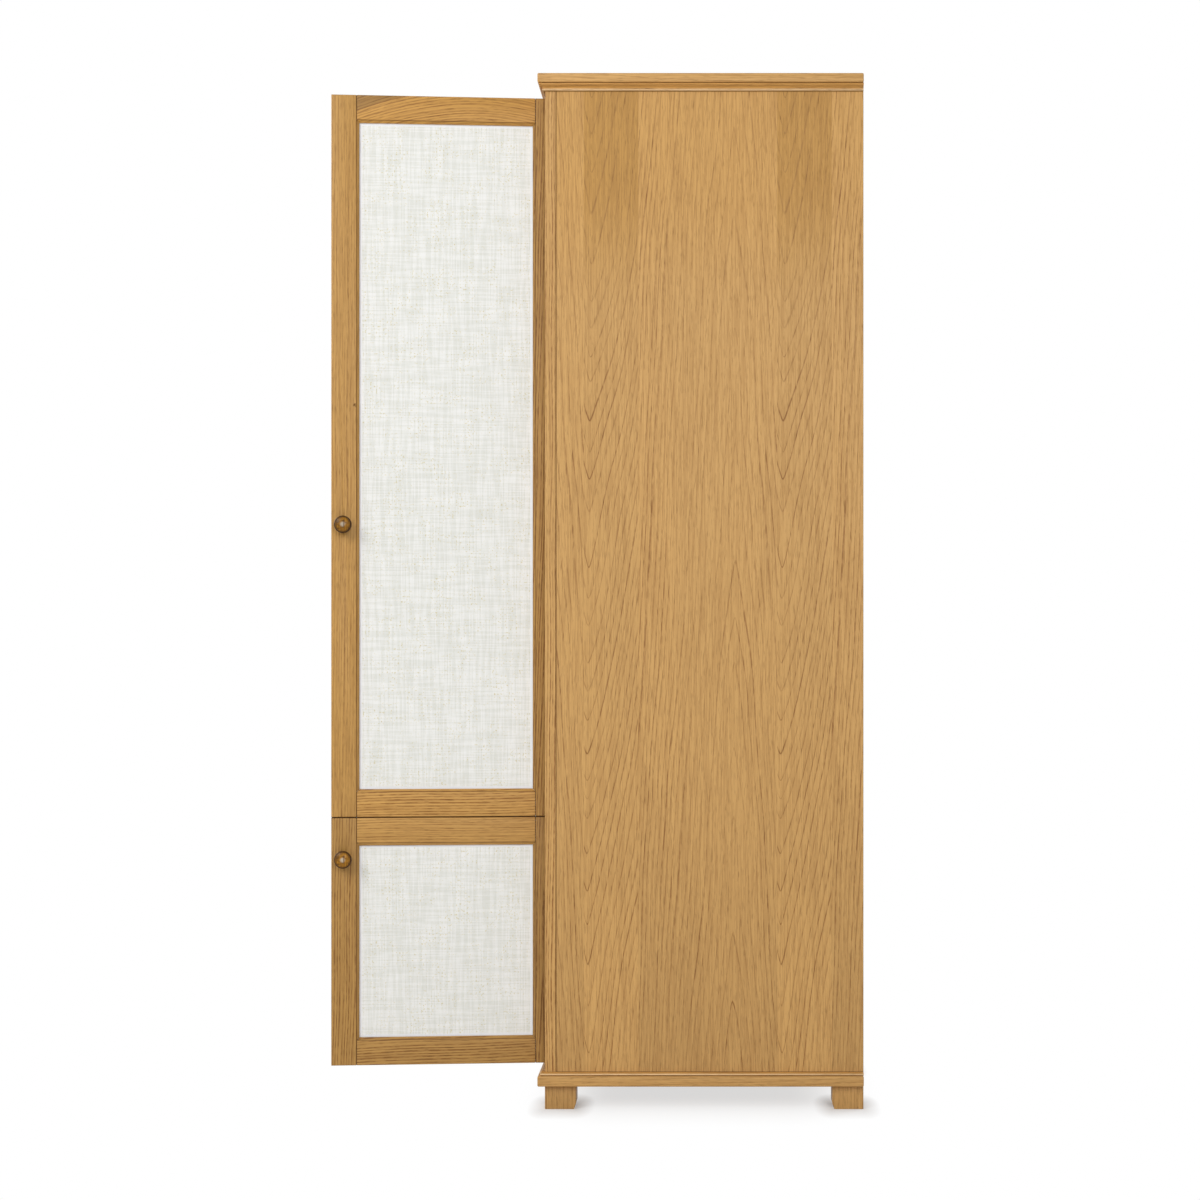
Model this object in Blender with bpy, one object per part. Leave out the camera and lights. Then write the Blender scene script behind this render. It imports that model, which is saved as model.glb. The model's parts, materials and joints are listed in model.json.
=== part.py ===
"""Tall oak cabinet with two framed linen doors, one above the other, standing open.

The cabinet faces -Y. Its doors hang on the right-hand side, at +X, and lie
between the sides when shut. Sizes are in metres, and angles in degrees.
Each door is built shut, in its own frame, under an empty on its hinge axis.
The empty is then turned to hold the door open.
"""

import math

import bmesh
import bpy
from mathutils import Vector

# Overall sizes
CABINET_HEIGHT = 1.900
CARCASE_DEPTH = 0.585
MOULDING_OVERHANG = 0.013

# Clearances
JOINT_GAP = 0.0003
DOOR_GAP = 0.003
MEETING_GAP = 0.0014
SHELF_CLEARANCE = 0.001
PIN_CLEARANCE = 0.0002

# Fineness of the curves, and the angles that count as a corner
ARC_STEPS = 6
CORNER_STEPS = 2
MERGE_DISTANCE = 0.000001
SMOOTH_ANGLE = 40.0
SQUARE_ANGLE = 75.0

# Carcase
SIDE_THICKNESS = 0.022
FRONT_STILE_DEPTH = 0.020
TOP_SLAB_THICKNESS = 0.0166
TOP_RAIL_HEIGHT = 0.0173
TOP_RAIL_DEPTH = 0.020
BASE_SLAB_THICKNESS = 0.019
BOTTOM_BOARD_THICKNESS = 0.0147
BACK_PANEL_THICKNESS = 0.008
MIDDLE_SHELF_THICKNESS = 0.018
MIDDLE_SHELF_SETBACK = 0.012
BOARD_ARRIS = 0.0006
SLAB_ARRIS = 0.0016

# Feet
FOOT_HEIGHT = 0.043
FOOT_SIDE = 0.057
FOOT_CHAMFER_HEIGHT = 0.010
FOOT_CHAMFER_WIDTH = 0.0035
FOOT_ARRIS = 0.0008

# Cornice, under the top slab: a bead, a cove and a smaller bead
CORNICE_BEAD_RADIUS = 0.0019
CORNICE_BEAD_OUT = 0.0088
CORNICE_QUIRK = 0.0008
CORNICE_COVE_HEIGHT = 0.0050
CORNICE_COVE_DEPTH = 0.0050
CORNICE_FOOT_RADIUS = 0.0016
CORNICE_FILLET = 0.0008

# Base moulding, on the base slab: a bead with a cove behind it
BASE_BEAD_RADIUS = 0.0018
BASE_BEAD_OUT = 0.0066
BASE_QUIRK = 0.0006
BASE_COVE_HEIGHT = 0.0018
BASE_FILLET = 0.0006

# Loose shelves and the strips that carry them
UPPER_SHELF_COUNT = 2
LOWER_SHELF_COUNT = 1
SHELF_THICKNESS = 0.018
SHELF_SETBACK = 0.050
BEARER_HEIGHT = 0.018
BEARER_WIDTH = 0.012
BEARER_SETBACK = 0.010

# Doors
DOOR_WIDTH = 0.420
DOOR_THICKNESS = 0.020
LOWER_DOOR_HEIGHT = 0.4545
STILE_WIDTH = 0.046
RAIL_WIDTH = 0.046
DOOR_ARRIS = 0.003
DOOR_ARRIS_STEPS = 3
JOINT_ARRIS = 0.0007
LIP_WIDTH = 0.005
LIP_DROP = 0.0014
LIP_SLOPE = 0.0016
LIP_NOSE = 0.0010
PANEL_SETBACK = 0.007
PANEL_GROOVE_DEPTH = 0.006
LINEN_THICKNESS = 0.001
LINEN_ARRIS = 0.000125
PANEL_BOARD_THICKNESS = 0.006

# Concealed hinges
DOOR_OPENING = 95.0
PIVOT_FROM_EDGE = 0.0155
PIVOT_FROM_FRONT = 0.0105
UPPER_HINGE_COUNT = 3
LOWER_HINGE_COUNT = 2
HINGE_END_DISTANCE = 0.100
CUP_RADIUS = 0.0175
CUP_DEPTH = 0.0135
CUP_WALL = 0.0008
CUP_CENTRE_FROM_EDGE = 0.022
CUP_LIP_WIDTH = 0.0009
CUP_LIP_THICKNESS = 0.0008
WING_THICKNESS = 0.0010
CUP_SEGMENTS = 28
WING_LENGTH = 0.062
WING_WIDTH = 0.014
WING_CORNER_RADIUS = 0.0035
WING_OFFSET = 0.009
PIN_RADIUS = 0.00125
PIN_SEGMENTS = 12
EYE_RADIUS = 0.0027
EYE_STEPS = 10
ARM_THICKNESS = 0.003
ARM_WIDTH = 0.016
ARM_REACH = 0.0157
ARM_RETURN = 0.0205
ARM_HEIGHT = 0.010
ARM_LENGTH = 0.053
PLATE_THICKNESS = 0.002
PLATE_WING_SPAN = 0.048
PLATE_WING_WIDTH = 0.012
PLATE_WING_SETBACK = 0.022

# Knobs and the screws that hold them
KNOB_FROM_EDGE = 0.0225
UPPER_KNOB_HEIGHT = 0.5363
LOWER_KNOB_HEIGHT = 0.3797
KNOB_RADIUS = 0.016
KNOB_LENGTH = 0.030
KNOB_BASE_RADIUS = 0.0120
KNOB_BASE_LENGTH = 0.003
KNOB_BASE_EDGE = 0.002
KNOB_NECK_RADIUS = 0.0080
KNOB_HEAD_LENGTH = 0.016
KNOB_CROWN = 0.006
KNOB_SEGMENTS = 24
SCREW_RADIUS = 0.002
SCREW_GRIP = 0.013
SCREW_HEAD_RADIUS = 0.004
SCREW_HEAD_CROWN_RADIUS = 0.003
SCREW_HEAD_LENGTH = 0.0022
SCREW_HEAD_EDGE = 0.0011
SCREW_SEGMENTS = 12

# Finishes: a colour in linear light, a roughness and a metallic value
FINISHES = {
    "oak": ((0.54, 0.31, 0.115), 0.42, 0.0),
    "knob_oak": ((0.30, 0.145, 0.04), 0.3, 0.0),
    "linen": ((0.80, 0.79, 0.75), 0.9, 0.0),
    "panel_board": ((0.60, 0.42, 0.22), 0.6, 0.0),
    "steel": ((0.55, 0.55, 0.54), 0.3, 1.0),
}

# Places that follow from the sizes above
INNER_HALF_WIDTH = DOOR_WIDTH / 2 + DOOR_GAP
OUTER_HALF_WIDTH = INNER_HALF_WIDTH + SIDE_THICKNESS
BASE_SLAB_LOW = FOOT_HEIGHT + JOINT_GAP
BASE_SLAB_TOP = BASE_SLAB_LOW + BASE_SLAB_THICKNESS
SIDE_LOW = BASE_SLAB_TOP + JOINT_GAP
TOP_SLAB_LOW = CABINET_HEIGHT - TOP_SLAB_THICKNESS
SIDE_TOP = TOP_SLAB_LOW - JOINT_GAP
BOTTOM_BOARD_TOP = SIDE_LOW + BOTTOM_BOARD_THICKNESS
LOWER_DOOR_LOW = BOTTOM_BOARD_TOP + DOOR_GAP
UPPER_DOOR_LOW = LOWER_DOOR_LOW + LOWER_DOOR_HEIGHT + MEETING_GAP
TOP_RAIL_LOW = SIDE_TOP - TOP_RAIL_HEIGHT
UPPER_DOOR_HEIGHT = TOP_RAIL_LOW - DOOR_GAP - UPPER_DOOR_LOW
MIDDLE_SHELF_LOW = UPPER_DOOR_LOW - MEETING_GAP / 2 - MIDDLE_SHELF_THICKNESS / 2
MIDDLE_SHELF_TOP = MIDDLE_SHELF_LOW + MIDDLE_SHELF_THICKNESS
BACK_FRONT = CARCASE_DEPTH - BACK_PANEL_THICKNESS
PIVOT_FROM_SIDE = PIVOT_FROM_EDGE + DOOR_GAP
MITRE_GAP = JOINT_GAP / math.sqrt(2)


def clear_scene():
    """Remove every object that the file opened with."""
    for obj in list(bpy.data.objects):
        bpy.data.objects.remove(obj)


def make_material(name, colour, roughness, metallic):
    """One finish, with its colour in linear light."""
    material = bpy.data.materials.new(name)
    material.use_nodes = True
    shader = material.node_tree.nodes["Principled BSDF"]
    shader.inputs["Base Color"].default_value = (*colour, 1.0)
    shader.inputs["Roughness"].default_value = roughness
    shader.inputs["Metallic"].default_value = metallic
    material.diffuse_color = (*colour, 1.0)
    return material


def add_empty(name, parent=None):
    """An empty that carries other objects."""
    empty = bpy.data.objects.new(name, None)
    bpy.context.scene.collection.objects.link(empty)
    empty.parent = parent
    return empty


def add_object(name, bm, material=None, parent=None):
    """Turn a bmesh into a named object, with its faces pointing out."""
    bmesh.ops.recalc_face_normals(bm, faces=bm.faces)
    mesh = bpy.data.meshes.new(name)
    bm.to_mesh(mesh)
    bm.free()
    obj = bpy.data.objects.new(name, mesh)
    bpy.context.scene.collection.objects.link(obj)
    obj.parent = parent
    if material:
        mesh.materials.append(material)
    return obj


def ease(bm, edges, radius, steps=1):
    """Round or chamfer the given edges."""
    bmesh.ops.bevel(
        bm,
        geom=list(edges),
        offset=radius,
        offset_type="OFFSET",
        segments=steps,
        profile=0.5,
        affect="EDGES",
        clamp_overlap=True,
    )


def box_mesh(low, high):
    """A bmesh of a box between two corners."""
    bm = bmesh.new()
    bmesh.ops.create_cube(bm, size=1.0)
    bmesh.ops.scale(bm, vec=high - low, verts=bm.verts)
    bmesh.ops.translate(bm, vec=(low + high) / 2, verts=bm.verts)
    return bm


def add_board(name, low, high, material, parent, arris=BOARD_ARRIS):
    """A board between two corners, its origin at its middle and its arrises eased."""
    low = Vector(low)
    high = Vector(high)
    half = (high - low) / 2
    bm = box_mesh(-half, half)
    ease(bm, bm.edges, arris)
    board = add_object(name, bm, material, parent)
    board.location = low + half
    return board


def add_swept(name, first, last, material=None, parent=None):
    """A straight solid between two like outlines."""
    bm = bmesh.new()
    start = [bm.verts.new(point) for point in first]
    end = [bm.verts.new(point) for point in last]
    bm.faces.new(start)
    bm.faces.new(end)
    for index, vert in enumerate(start):
        following = (index + 1) % len(start)
        bm.faces.new((vert, start[following], end[following], end[index]))
    return add_object(name, bm, material, parent)


def add_turned(name, profile, segments, material=None, parent=None):
    """A solid turned about Z from (radius, height) points that start and end on the axis."""
    bm = bmesh.new()
    verts = [bm.verts.new((radius, 0.0, height)) for radius, height in profile]
    edges = [bm.edges.new(pair) for pair in zip(verts, verts[1:])]
    bmesh.ops.spin(
        bm,
        geom=verts + edges,
        cent=(0.0, 0.0, 0.0),
        axis=(0.0, 0.0, 1.0),
        angle=2.0 * math.pi,
        steps=segments,
        use_merge=True,
    )
    bmesh.ops.remove_doubles(bm, verts=bm.verts, dist=MERGE_DISTANCE)
    return add_object(name, bm, material, parent)


def add_rod(name, radius, length, segments, material=None, parent=None):
    """A round bar along Z, centred on its origin."""
    half = length / 2
    profile = [(0.0, -half), (radius, -half), (radius, half), (0.0, half)]
    return add_turned(name, profile, segments, material, parent)


def combine(obj, other, operation):
    """Join or cut one solid with another, and discard the other."""
    modifier = obj.modifiers.new("combine", "BOOLEAN")
    modifier.operation = operation
    modifier.solver = "EXACT"
    modifier.object = other
    bpy.context.view_layer.update()
    graph = bpy.context.evaluated_depsgraph_get()
    result = bpy.data.meshes.new_from_object(obj.evaluated_get(graph))
    obj.modifiers.clear()
    obj.data = result
    bpy.data.objects.remove(other)


def arc(centre, radius, start, end, steps=ARC_STEPS):
    """Points along an arc about a centre, from one angle to another."""
    points = []
    for step in range(steps + 1):
        angle = math.radians(start + (end - start) * step / steps)
        points.append((centre[0] + radius * math.cos(angle), centre[1] + radius * math.sin(angle)))
    return points


def shade_round(obj):
    """Smooth a turned piece, and keep its corners crisp."""
    obj.data.shade_smooth()
    obj.data.set_sharp_from_angle(angle=math.radians(SMOOTH_ANGLE))


def cove(centre, width, height, steps=ARC_STEPS):
    """Points along a hollow quarter, from level with its centre's side to its inner side."""
    points = []
    for step in range(steps + 1):
        angle = math.pi / 2 * step / steps
        points.append((centre[0] - width * math.sin(angle), centre[1] + height * math.cos(angle)))
    return points


def cornice_profile():
    """The cornice's outline as (out, height) points, from the carcase outwards and down."""
    bead_middle = SIDE_TOP - CORNICE_QUIRK - CORNICE_BEAD_RADIUS
    bead_low = bead_middle - CORNICE_BEAD_RADIUS
    cove_out = CORNICE_BEAD_OUT - CORNICE_QUIRK
    cove_low = bead_low - CORNICE_QUIRK - CORNICE_COVE_HEIGHT
    foot_out = cove_out - CORNICE_COVE_DEPTH
    foot_middle = cove_low - CORNICE_FOOT_RADIUS
    foot_low = foot_middle - CORNICE_FOOT_RADIUS
    fillet_out = foot_out - CORNICE_FILLET
    points = [(JOINT_GAP, SIDE_TOP), (CORNICE_BEAD_OUT, SIDE_TOP)]
    points += arc((CORNICE_BEAD_OUT, bead_middle), CORNICE_BEAD_RADIUS, 90.0, -90.0)
    points.append((cove_out, bead_low))
    points += cove((cove_out, cove_low), CORNICE_COVE_DEPTH, CORNICE_COVE_HEIGHT)
    points += arc((foot_out, foot_middle), CORNICE_FOOT_RADIUS, 90.0, -90.0)[1:]
    points.append((fillet_out, foot_low))
    points.append((fillet_out, foot_low - CORNICE_FILLET))
    points.append((JOINT_GAP, foot_low - CORNICE_FILLET))
    return points


def base_bead_profile():
    """The base moulding's outline as (out, height) points, from the carcase outwards and up."""
    bead_middle = SIDE_LOW + BASE_QUIRK + BASE_BEAD_RADIUS
    bead_top = bead_middle + BASE_BEAD_RADIUS
    cove_out = BASE_BEAD_OUT - BASE_QUIRK
    cove_top = bead_top + BASE_COVE_HEIGHT
    cove_depth = cove_out - JOINT_GAP - BASE_FILLET
    points = [(JOINT_GAP, SIDE_LOW), (BASE_BEAD_OUT, SIDE_LOW)]
    points += arc((BASE_BEAD_OUT, bead_middle), BASE_BEAD_RADIUS, -90.0, 90.0)
    points += cove((cove_out, cove_top), cove_depth, -BASE_COVE_HEIGHT)
    points.append((JOINT_GAP, cove_top))
    return points


def add_mouldings(name, profile, material, parent):
    """A moulding round the front and both sides, mitred at the two front corners."""
    left = [(-OUTER_HALF_WIDTH - out + MITRE_GAP, -out, height) for out, height in profile]
    right = [(OUTER_HALF_WIDTH + out - MITRE_GAP, -out, height) for out, height in profile]
    add_swept(name + "_front", left, right, material, parent)
    for side_name, side in (("left", -1), ("right", 1)):
        front = []
        rear = []
        for out, height in profile:
            across = side * (OUTER_HALF_WIDTH + out)
            front.append((across, MITRE_GAP - out, height))
            rear.append((across, CARCASE_DEPTH, height))
        add_swept(name + "_" + side_name, front, rear, material, parent)


def add_foot(name, side, end, material, parent):
    """A square foot at one corner, chamfered to the floor on its two inner faces."""
    half = FOOT_SIDE / 2
    bm = box_mesh(Vector((-half, -half, 0.0)), Vector((half, half, FOOT_HEIGHT)))
    geometry = bm.verts[:] + bm.edges[:] + bm.faces[:]
    chamfer_top = (0.0, 0.0, FOOT_CHAMFER_HEIGHT)
    bmesh.ops.bisect_plane(bm, geom=geometry, plane_co=chamfer_top, plane_no=(0.0, 0.0, 1.0))
    for vert in bm.verts:
        if vert.co.z < FOOT_CHAMFER_HEIGHT / 2:
            if vert.co.x * side < 0:
                vert.co.x += side * FOOT_CHAMFER_WIDTH
            if vert.co.y * end < 0:
                vert.co.y += end * FOOT_CHAMFER_WIDTH
    ease(bm, bm.edges, FOOT_ARRIS)
    foot = add_object(name, bm, material, parent)
    middle_depth = half if end < 0 else CARCASE_DEPTH - half
    foot.location = (side * (OUTER_HALF_WIDTH - half), middle_depth, 0.0)


def add_carcase(materials, parent):
    """The fixed boards, from the feet up to the top slab."""
    oak = materials["oak"]
    slab_half = OUTER_HALF_WIDTH + MOULDING_OVERHANG
    between = INNER_HALF_WIDTH - JOINT_GAP
    for side_name, side in (("left", -1), ("right", 1)):
        near = min(side * INNER_HALF_WIDTH, side * OUTER_HALF_WIDTH)
        far = max(side * INNER_HALF_WIDTH, side * OUTER_HALF_WIDTH)
        add_board(
            side_name + "_side_panel",
            (near, FRONT_STILE_DEPTH + JOINT_GAP, SIDE_LOW),
            (far, CARCASE_DEPTH, SIDE_TOP),
            oak,
            parent,
        )
        add_board(
            side_name + "_front_stile",
            (near, 0.0, SIDE_LOW),
            (far, FRONT_STILE_DEPTH, SIDE_TOP),
            oak,
            parent,
        )
        add_foot("front_" + side_name + "_foot", side, -1, oak, parent)
        add_foot("rear_" + side_name + "_foot", side, 1, oak, parent)
    add_board(
        "top_slab",
        (-slab_half, -MOULDING_OVERHANG, TOP_SLAB_LOW),
        (slab_half, CARCASE_DEPTH, CABINET_HEIGHT),
        oak,
        parent,
        SLAB_ARRIS,
    )
    add_board(
        "base_slab",
        (-slab_half, -MOULDING_OVERHANG, BASE_SLAB_LOW),
        (slab_half, CARCASE_DEPTH, BASE_SLAB_TOP),
        oak,
        parent,
        SLAB_ARRIS,
    )
    add_board("top_rail", (-between, 0.0, TOP_RAIL_LOW), (between, TOP_RAIL_DEPTH, SIDE_TOP), oak, parent)
    board_rear = BACK_FRONT - JOINT_GAP
    add_board("bottom_board", (-between, 0.0, SIDE_LOW), (between, board_rear, BOTTOM_BOARD_TOP), oak, parent)
    add_board(
        "middle_shelf",
        (-between, DOOR_THICKNESS + MIDDLE_SHELF_SETBACK, MIDDLE_SHELF_LOW),
        (between, board_rear, MIDDLE_SHELF_TOP),
        oak,
        parent,
    )
    add_board("back_panel", (-between, BACK_FRONT, SIDE_LOW), (between, CARCASE_DEPTH, SIDE_TOP), oak, parent)
    add_mouldings("cornice", cornice_profile(), oak, parent)
    add_mouldings("base_bead", base_bead_profile(), oak, parent)


def add_loose_shelves(prefix, count, floor, ceiling, material, parent):
    """Evenly spaced shelves in one compartment, each resting on a strip at either side."""
    clear_height = (ceiling - floor - count * SHELF_THICKNESS) / (count + 1)
    shelf_half = INNER_HALF_WIDTH - SHELF_CLEARANCE
    strip_outer = INNER_HALF_WIDTH - JOINT_GAP
    strip_inner = strip_outer - BEARER_WIDTH
    strip_front = SHELF_SETBACK + BEARER_SETBACK
    rear = BACK_FRONT - JOINT_GAP
    for number in range(1, count + 1):
        low = floor + number * clear_height + (number - 1) * SHELF_THICKNESS
        name = prefix + "_shelf_" + str(number)
        shelf_low = (-shelf_half, SHELF_SETBACK, low)
        add_board(name, shelf_low, (shelf_half, rear, low + SHELF_THICKNESS), material, parent)
        strip_top = low - JOINT_GAP
        strip_low = strip_top - BEARER_HEIGHT
        left_low = (-strip_outer, strip_front, strip_low)
        right_low = (strip_inner, strip_front, strip_low)
        add_board(name + "_left_bearer", left_low, (-strip_inner, rear, strip_top), material, parent)
        add_board(name + "_right_bearer", right_low, (strip_outer, rear, strip_top), material, parent)


def lip_outline(length, width, inset):
    """The two ends of the lip in front of a door panel, mitred, as (across, deep, along) points."""
    outer = width + LIP_WIDTH
    root = width - JOINT_GAP / 2
    back = PANEL_SETBACK
    nose_deep = LIP_DROP + LIP_SLOPE
    section = [
        (root, LIP_DROP),
        (width, LIP_DROP),
        (outer - LIP_NOSE, nose_deep),
        (outer, nose_deep + LIP_NOSE),
        (outer, back),
        (root, back),
    ]
    first = [(across, deep, inset + across - width) for across, deep in section]
    last = [(across, deep, length - inset - across + width) for across, deep in section]
    return first, last


def add_frame_member(name, length, width, is_stile, material, parent):
    """A door stile or rail along Z, with its outer edge at X = 0 and its front at Y = 0."""
    bm = box_mesh(Vector((0.0, 0.0, 0.0)), Vector((width, DOOR_THICKNESS, length)))
    rounded = []
    for edge in bm.edges:
        middle = (edge.verts[0].co + edge.verts[1].co) / 2
        at_front = middle.y < JOINT_GAP
        at_end = middle.z < JOINT_GAP or middle.z > length - JOINT_GAP
        if at_front and (middle.x < JOINT_GAP or (at_end and is_stile)):
            rounded.append(edge)
    ease(bm, rounded, DOOR_ARRIS, DOOR_ARRIS_STEPS)
    square = []
    for edge in bm.edges:
        is_sharp = edge.calc_face_angle() > math.radians(SQUARE_ANGLE)
        runs_deep = abs(edge.verts[0].co.y - edge.verts[1].co.y) > DOOR_THICKNESS / 2
        if is_sharp and not runs_deep:
            square.append(edge)
    ease(bm, square, JOINT_ARRIS)
    member = add_object(name, bm, material)

    # A stile's lip and groove stop short of its ends, where the rails meet it.
    # A rail's groove runs out through its ends.
    lip_inset = RAIL_WIDTH if is_stile else JOINT_GAP
    groove_inset = RAIL_WIDTH - PANEL_GROOVE_DEPTH - JOINT_GAP if is_stile else -DOOR_THICKNESS
    first, last = lip_outline(length, width, lip_inset)
    combine(member, add_swept("lip", first, last), "UNION")
    groove_low = Vector((width - PANEL_GROOVE_DEPTH, PANEL_SETBACK - JOINT_GAP, groove_inset))
    groove_high = Vector((width + 2 * LIP_WIDTH, panel_back() + JOINT_GAP, length - groove_inset))
    combine(member, add_object("groove", box_mesh(groove_low, groove_high)), "DIFFERENCE")
    member.parent = parent
    return member


def panel_back():
    """How deep the back of a door's panel lies behind the door's front."""
    return PANEL_SETBACK + LINEN_THICKNESS + JOINT_GAP + PANEL_BOARD_THICKNESS


def drill(obj, radius, across, along, deep_from, deep_to, segments):
    """Bore a round hole through a frame member, along Y."""
    cutter = add_rod("drill", radius, deep_to - deep_from, segments)
    cutter.rotation_euler.x = math.pi / 2
    cutter.location = (across, (deep_from + deep_to) / 2, along)
    combine(obj, cutter, "DIFFERENCE")


def hinge_heights(count, height):
    """Where a door's hinges sit above its lower edge, evenly spaced."""
    span = height - 2 * HINGE_END_DISTANCE
    return [HINGE_END_DISTANCE + span * number / (count - 1) for number in range(count)]


def add_door_frame(door, height, knob_height, hinges, material, parent):
    """A door's two stiles and two rails, round the groove that holds its panel."""
    hinge_edge = PIVOT_FROM_EDGE
    free_edge = PIVOT_FROM_EDGE - DOOR_WIDTH
    rail_length = DOOR_WIDTH - 2 * (STILE_WIDTH + JOINT_GAP)

    hinge_stile = add_frame_member(door + "_hinge_stile", height, STILE_WIDTH, True, material, None)
    bore_front = DOOR_THICKNESS - CUP_DEPTH - JOINT_GAP
    for hinge_height in hinges:
        along = height - hinge_height
        bore_radius = CUP_RADIUS + JOINT_GAP
        through = DOOR_THICKNESS + CUP_DEPTH
        drill(hinge_stile, bore_radius, CUP_CENTRE_FROM_EDGE, along, bore_front, through, CUP_SEGMENTS)
    hinge_stile.parent = parent
    hinge_stile.rotation_euler.y = math.pi
    hinge_stile.location = (hinge_edge, -PIVOT_FROM_FRONT, height)

    free_stile = add_frame_member(door + "_free_stile", height, STILE_WIDTH, True, material, None)
    hole_radius = SCREW_RADIUS + JOINT_GAP
    drill(
        free_stile,
        hole_radius,
        KNOB_FROM_EDGE,
        knob_height,
        -DOOR_THICKNESS,
        2 * DOOR_THICKNESS,
        SCREW_SEGMENTS,
    )
    free_stile.parent = parent
    free_stile.location = (free_edge, -PIVOT_FROM_FRONT, 0.0)

    bottom_rail = add_frame_member(door + "_bottom_rail", rail_length, RAIL_WIDTH, False, material, parent)
    bottom_rail.rotation_euler.y = -math.pi / 2
    bottom_rail.location = (hinge_edge - STILE_WIDTH - JOINT_GAP, -PIVOT_FROM_FRONT, 0.0)

    top_rail = add_frame_member(door + "_top_rail", rail_length, RAIL_WIDTH, False, material, parent)
    top_rail.rotation_euler.y = math.pi / 2
    top_rail.location = (free_edge + STILE_WIDTH + JOINT_GAP, -PIVOT_FROM_FRONT, height)


def add_door_panel(door, height, materials, parent):
    """The linen and the thin board behind it, held in the groove of the frame."""
    side_inset = STILE_WIDTH - PANEL_GROOVE_DEPTH + JOINT_GAP
    end_inset = RAIL_WIDTH - PANEL_GROOVE_DEPTH + JOINT_GAP
    left = PIVOT_FROM_EDGE - DOOR_WIDTH + side_inset
    right = PIVOT_FROM_EDGE - side_inset
    linen_front = PANEL_SETBACK - PIVOT_FROM_FRONT
    board_front = linen_front + LINEN_THICKNESS + JOINT_GAP
    top = height - end_inset
    linen_low = (left, linen_front, end_inset)
    linen_high = (right, linen_front + LINEN_THICKNESS, top)
    add_board(door + "_linen", linen_low, linen_high, materials["linen"], parent, LINEN_ARRIS)
    board_low = (left, board_front, end_inset)
    board_high = (right, board_front + PANEL_BOARD_THICKNESS, top)
    add_board(door + "_panel_board", board_low, board_high, materials["panel_board"], parent)


def add_hinge_cup(name, height, material, parent):
    """The cup pressed into the stile, with its flange on the door's back."""
    flange_low = CUP_DEPTH + JOINT_GAP
    lip_radius = CUP_RADIUS + CUP_LIP_WIDTH
    profile = [
        (0.0, 0.0),
        (CUP_RADIUS, 0.0),
        (CUP_RADIUS, flange_low),
        (lip_radius, flange_low),
        (lip_radius, flange_low + CUP_LIP_THICKNESS),
        (0.0, flange_low + CUP_LIP_THICKNESS),
    ]
    cup = add_turned(name, profile, CUP_SEGMENTS, material)
    wing_low = Vector((-WING_OFFSET - WING_WIDTH / 2, -WING_LENGTH / 2, flange_low))
    wing_high = Vector((-WING_OFFSET + WING_WIDTH / 2, WING_LENGTH / 2, flange_low + WING_THICKNESS))
    wing = box_mesh(wing_low, wing_high)
    corners = [edge for edge in wing.edges if abs(edge.verts[0].co.z - edge.verts[1].co.z) > WING_THICKNESS / 2]
    ease(wing, corners, WING_CORNER_RADIUS, CORNER_STEPS)
    combine(cup, add_object("flange", wing), "UNION")
    hollow = add_rod("hollow", CUP_RADIUS - CUP_WALL, 2 * CUP_DEPTH, CUP_SEGMENTS)
    hollow.location.z = CUP_WALL + CUP_DEPTH
    combine(cup, hollow, "DIFFERENCE")

    pin_hole = add_rod("pin_hole", PIN_RADIUS + PIN_CLEARANCE, 3 * CUP_RADIUS, PIN_SEGMENTS)
    pin_hole.rotation_euler.x = math.pi / 2
    pin_across = CUP_CENTRE_FROM_EDGE - PIVOT_FROM_EDGE
    pin_hole.location = (pin_across, 0.0, CUP_DEPTH - DOOR_THICKNESS + PIVOT_FROM_FRONT)
    combine(cup, pin_hole, "DIFFERENCE")
    shade_round(cup)
    cup.parent = parent
    cup.rotation_euler.x = -math.pi / 2
    cup.location = (-pin_across, DOOR_THICKNESS - CUP_DEPTH - PIVOT_FROM_FRONT, height)


def add_hinge_pin(name, height, material, parent):
    """The pin across the cup, which the door turns on."""
    across = CUP_CENTRE_FROM_EDGE - PIVOT_FROM_EDGE
    half_length = math.sqrt(CUP_RADIUS**2 - across**2) - JOINT_GAP
    pin = add_rod(name, PIN_RADIUS, 2 * half_length, PIN_SEGMENTS, material, parent)
    shade_round(pin)
    pin.location.z = height


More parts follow.
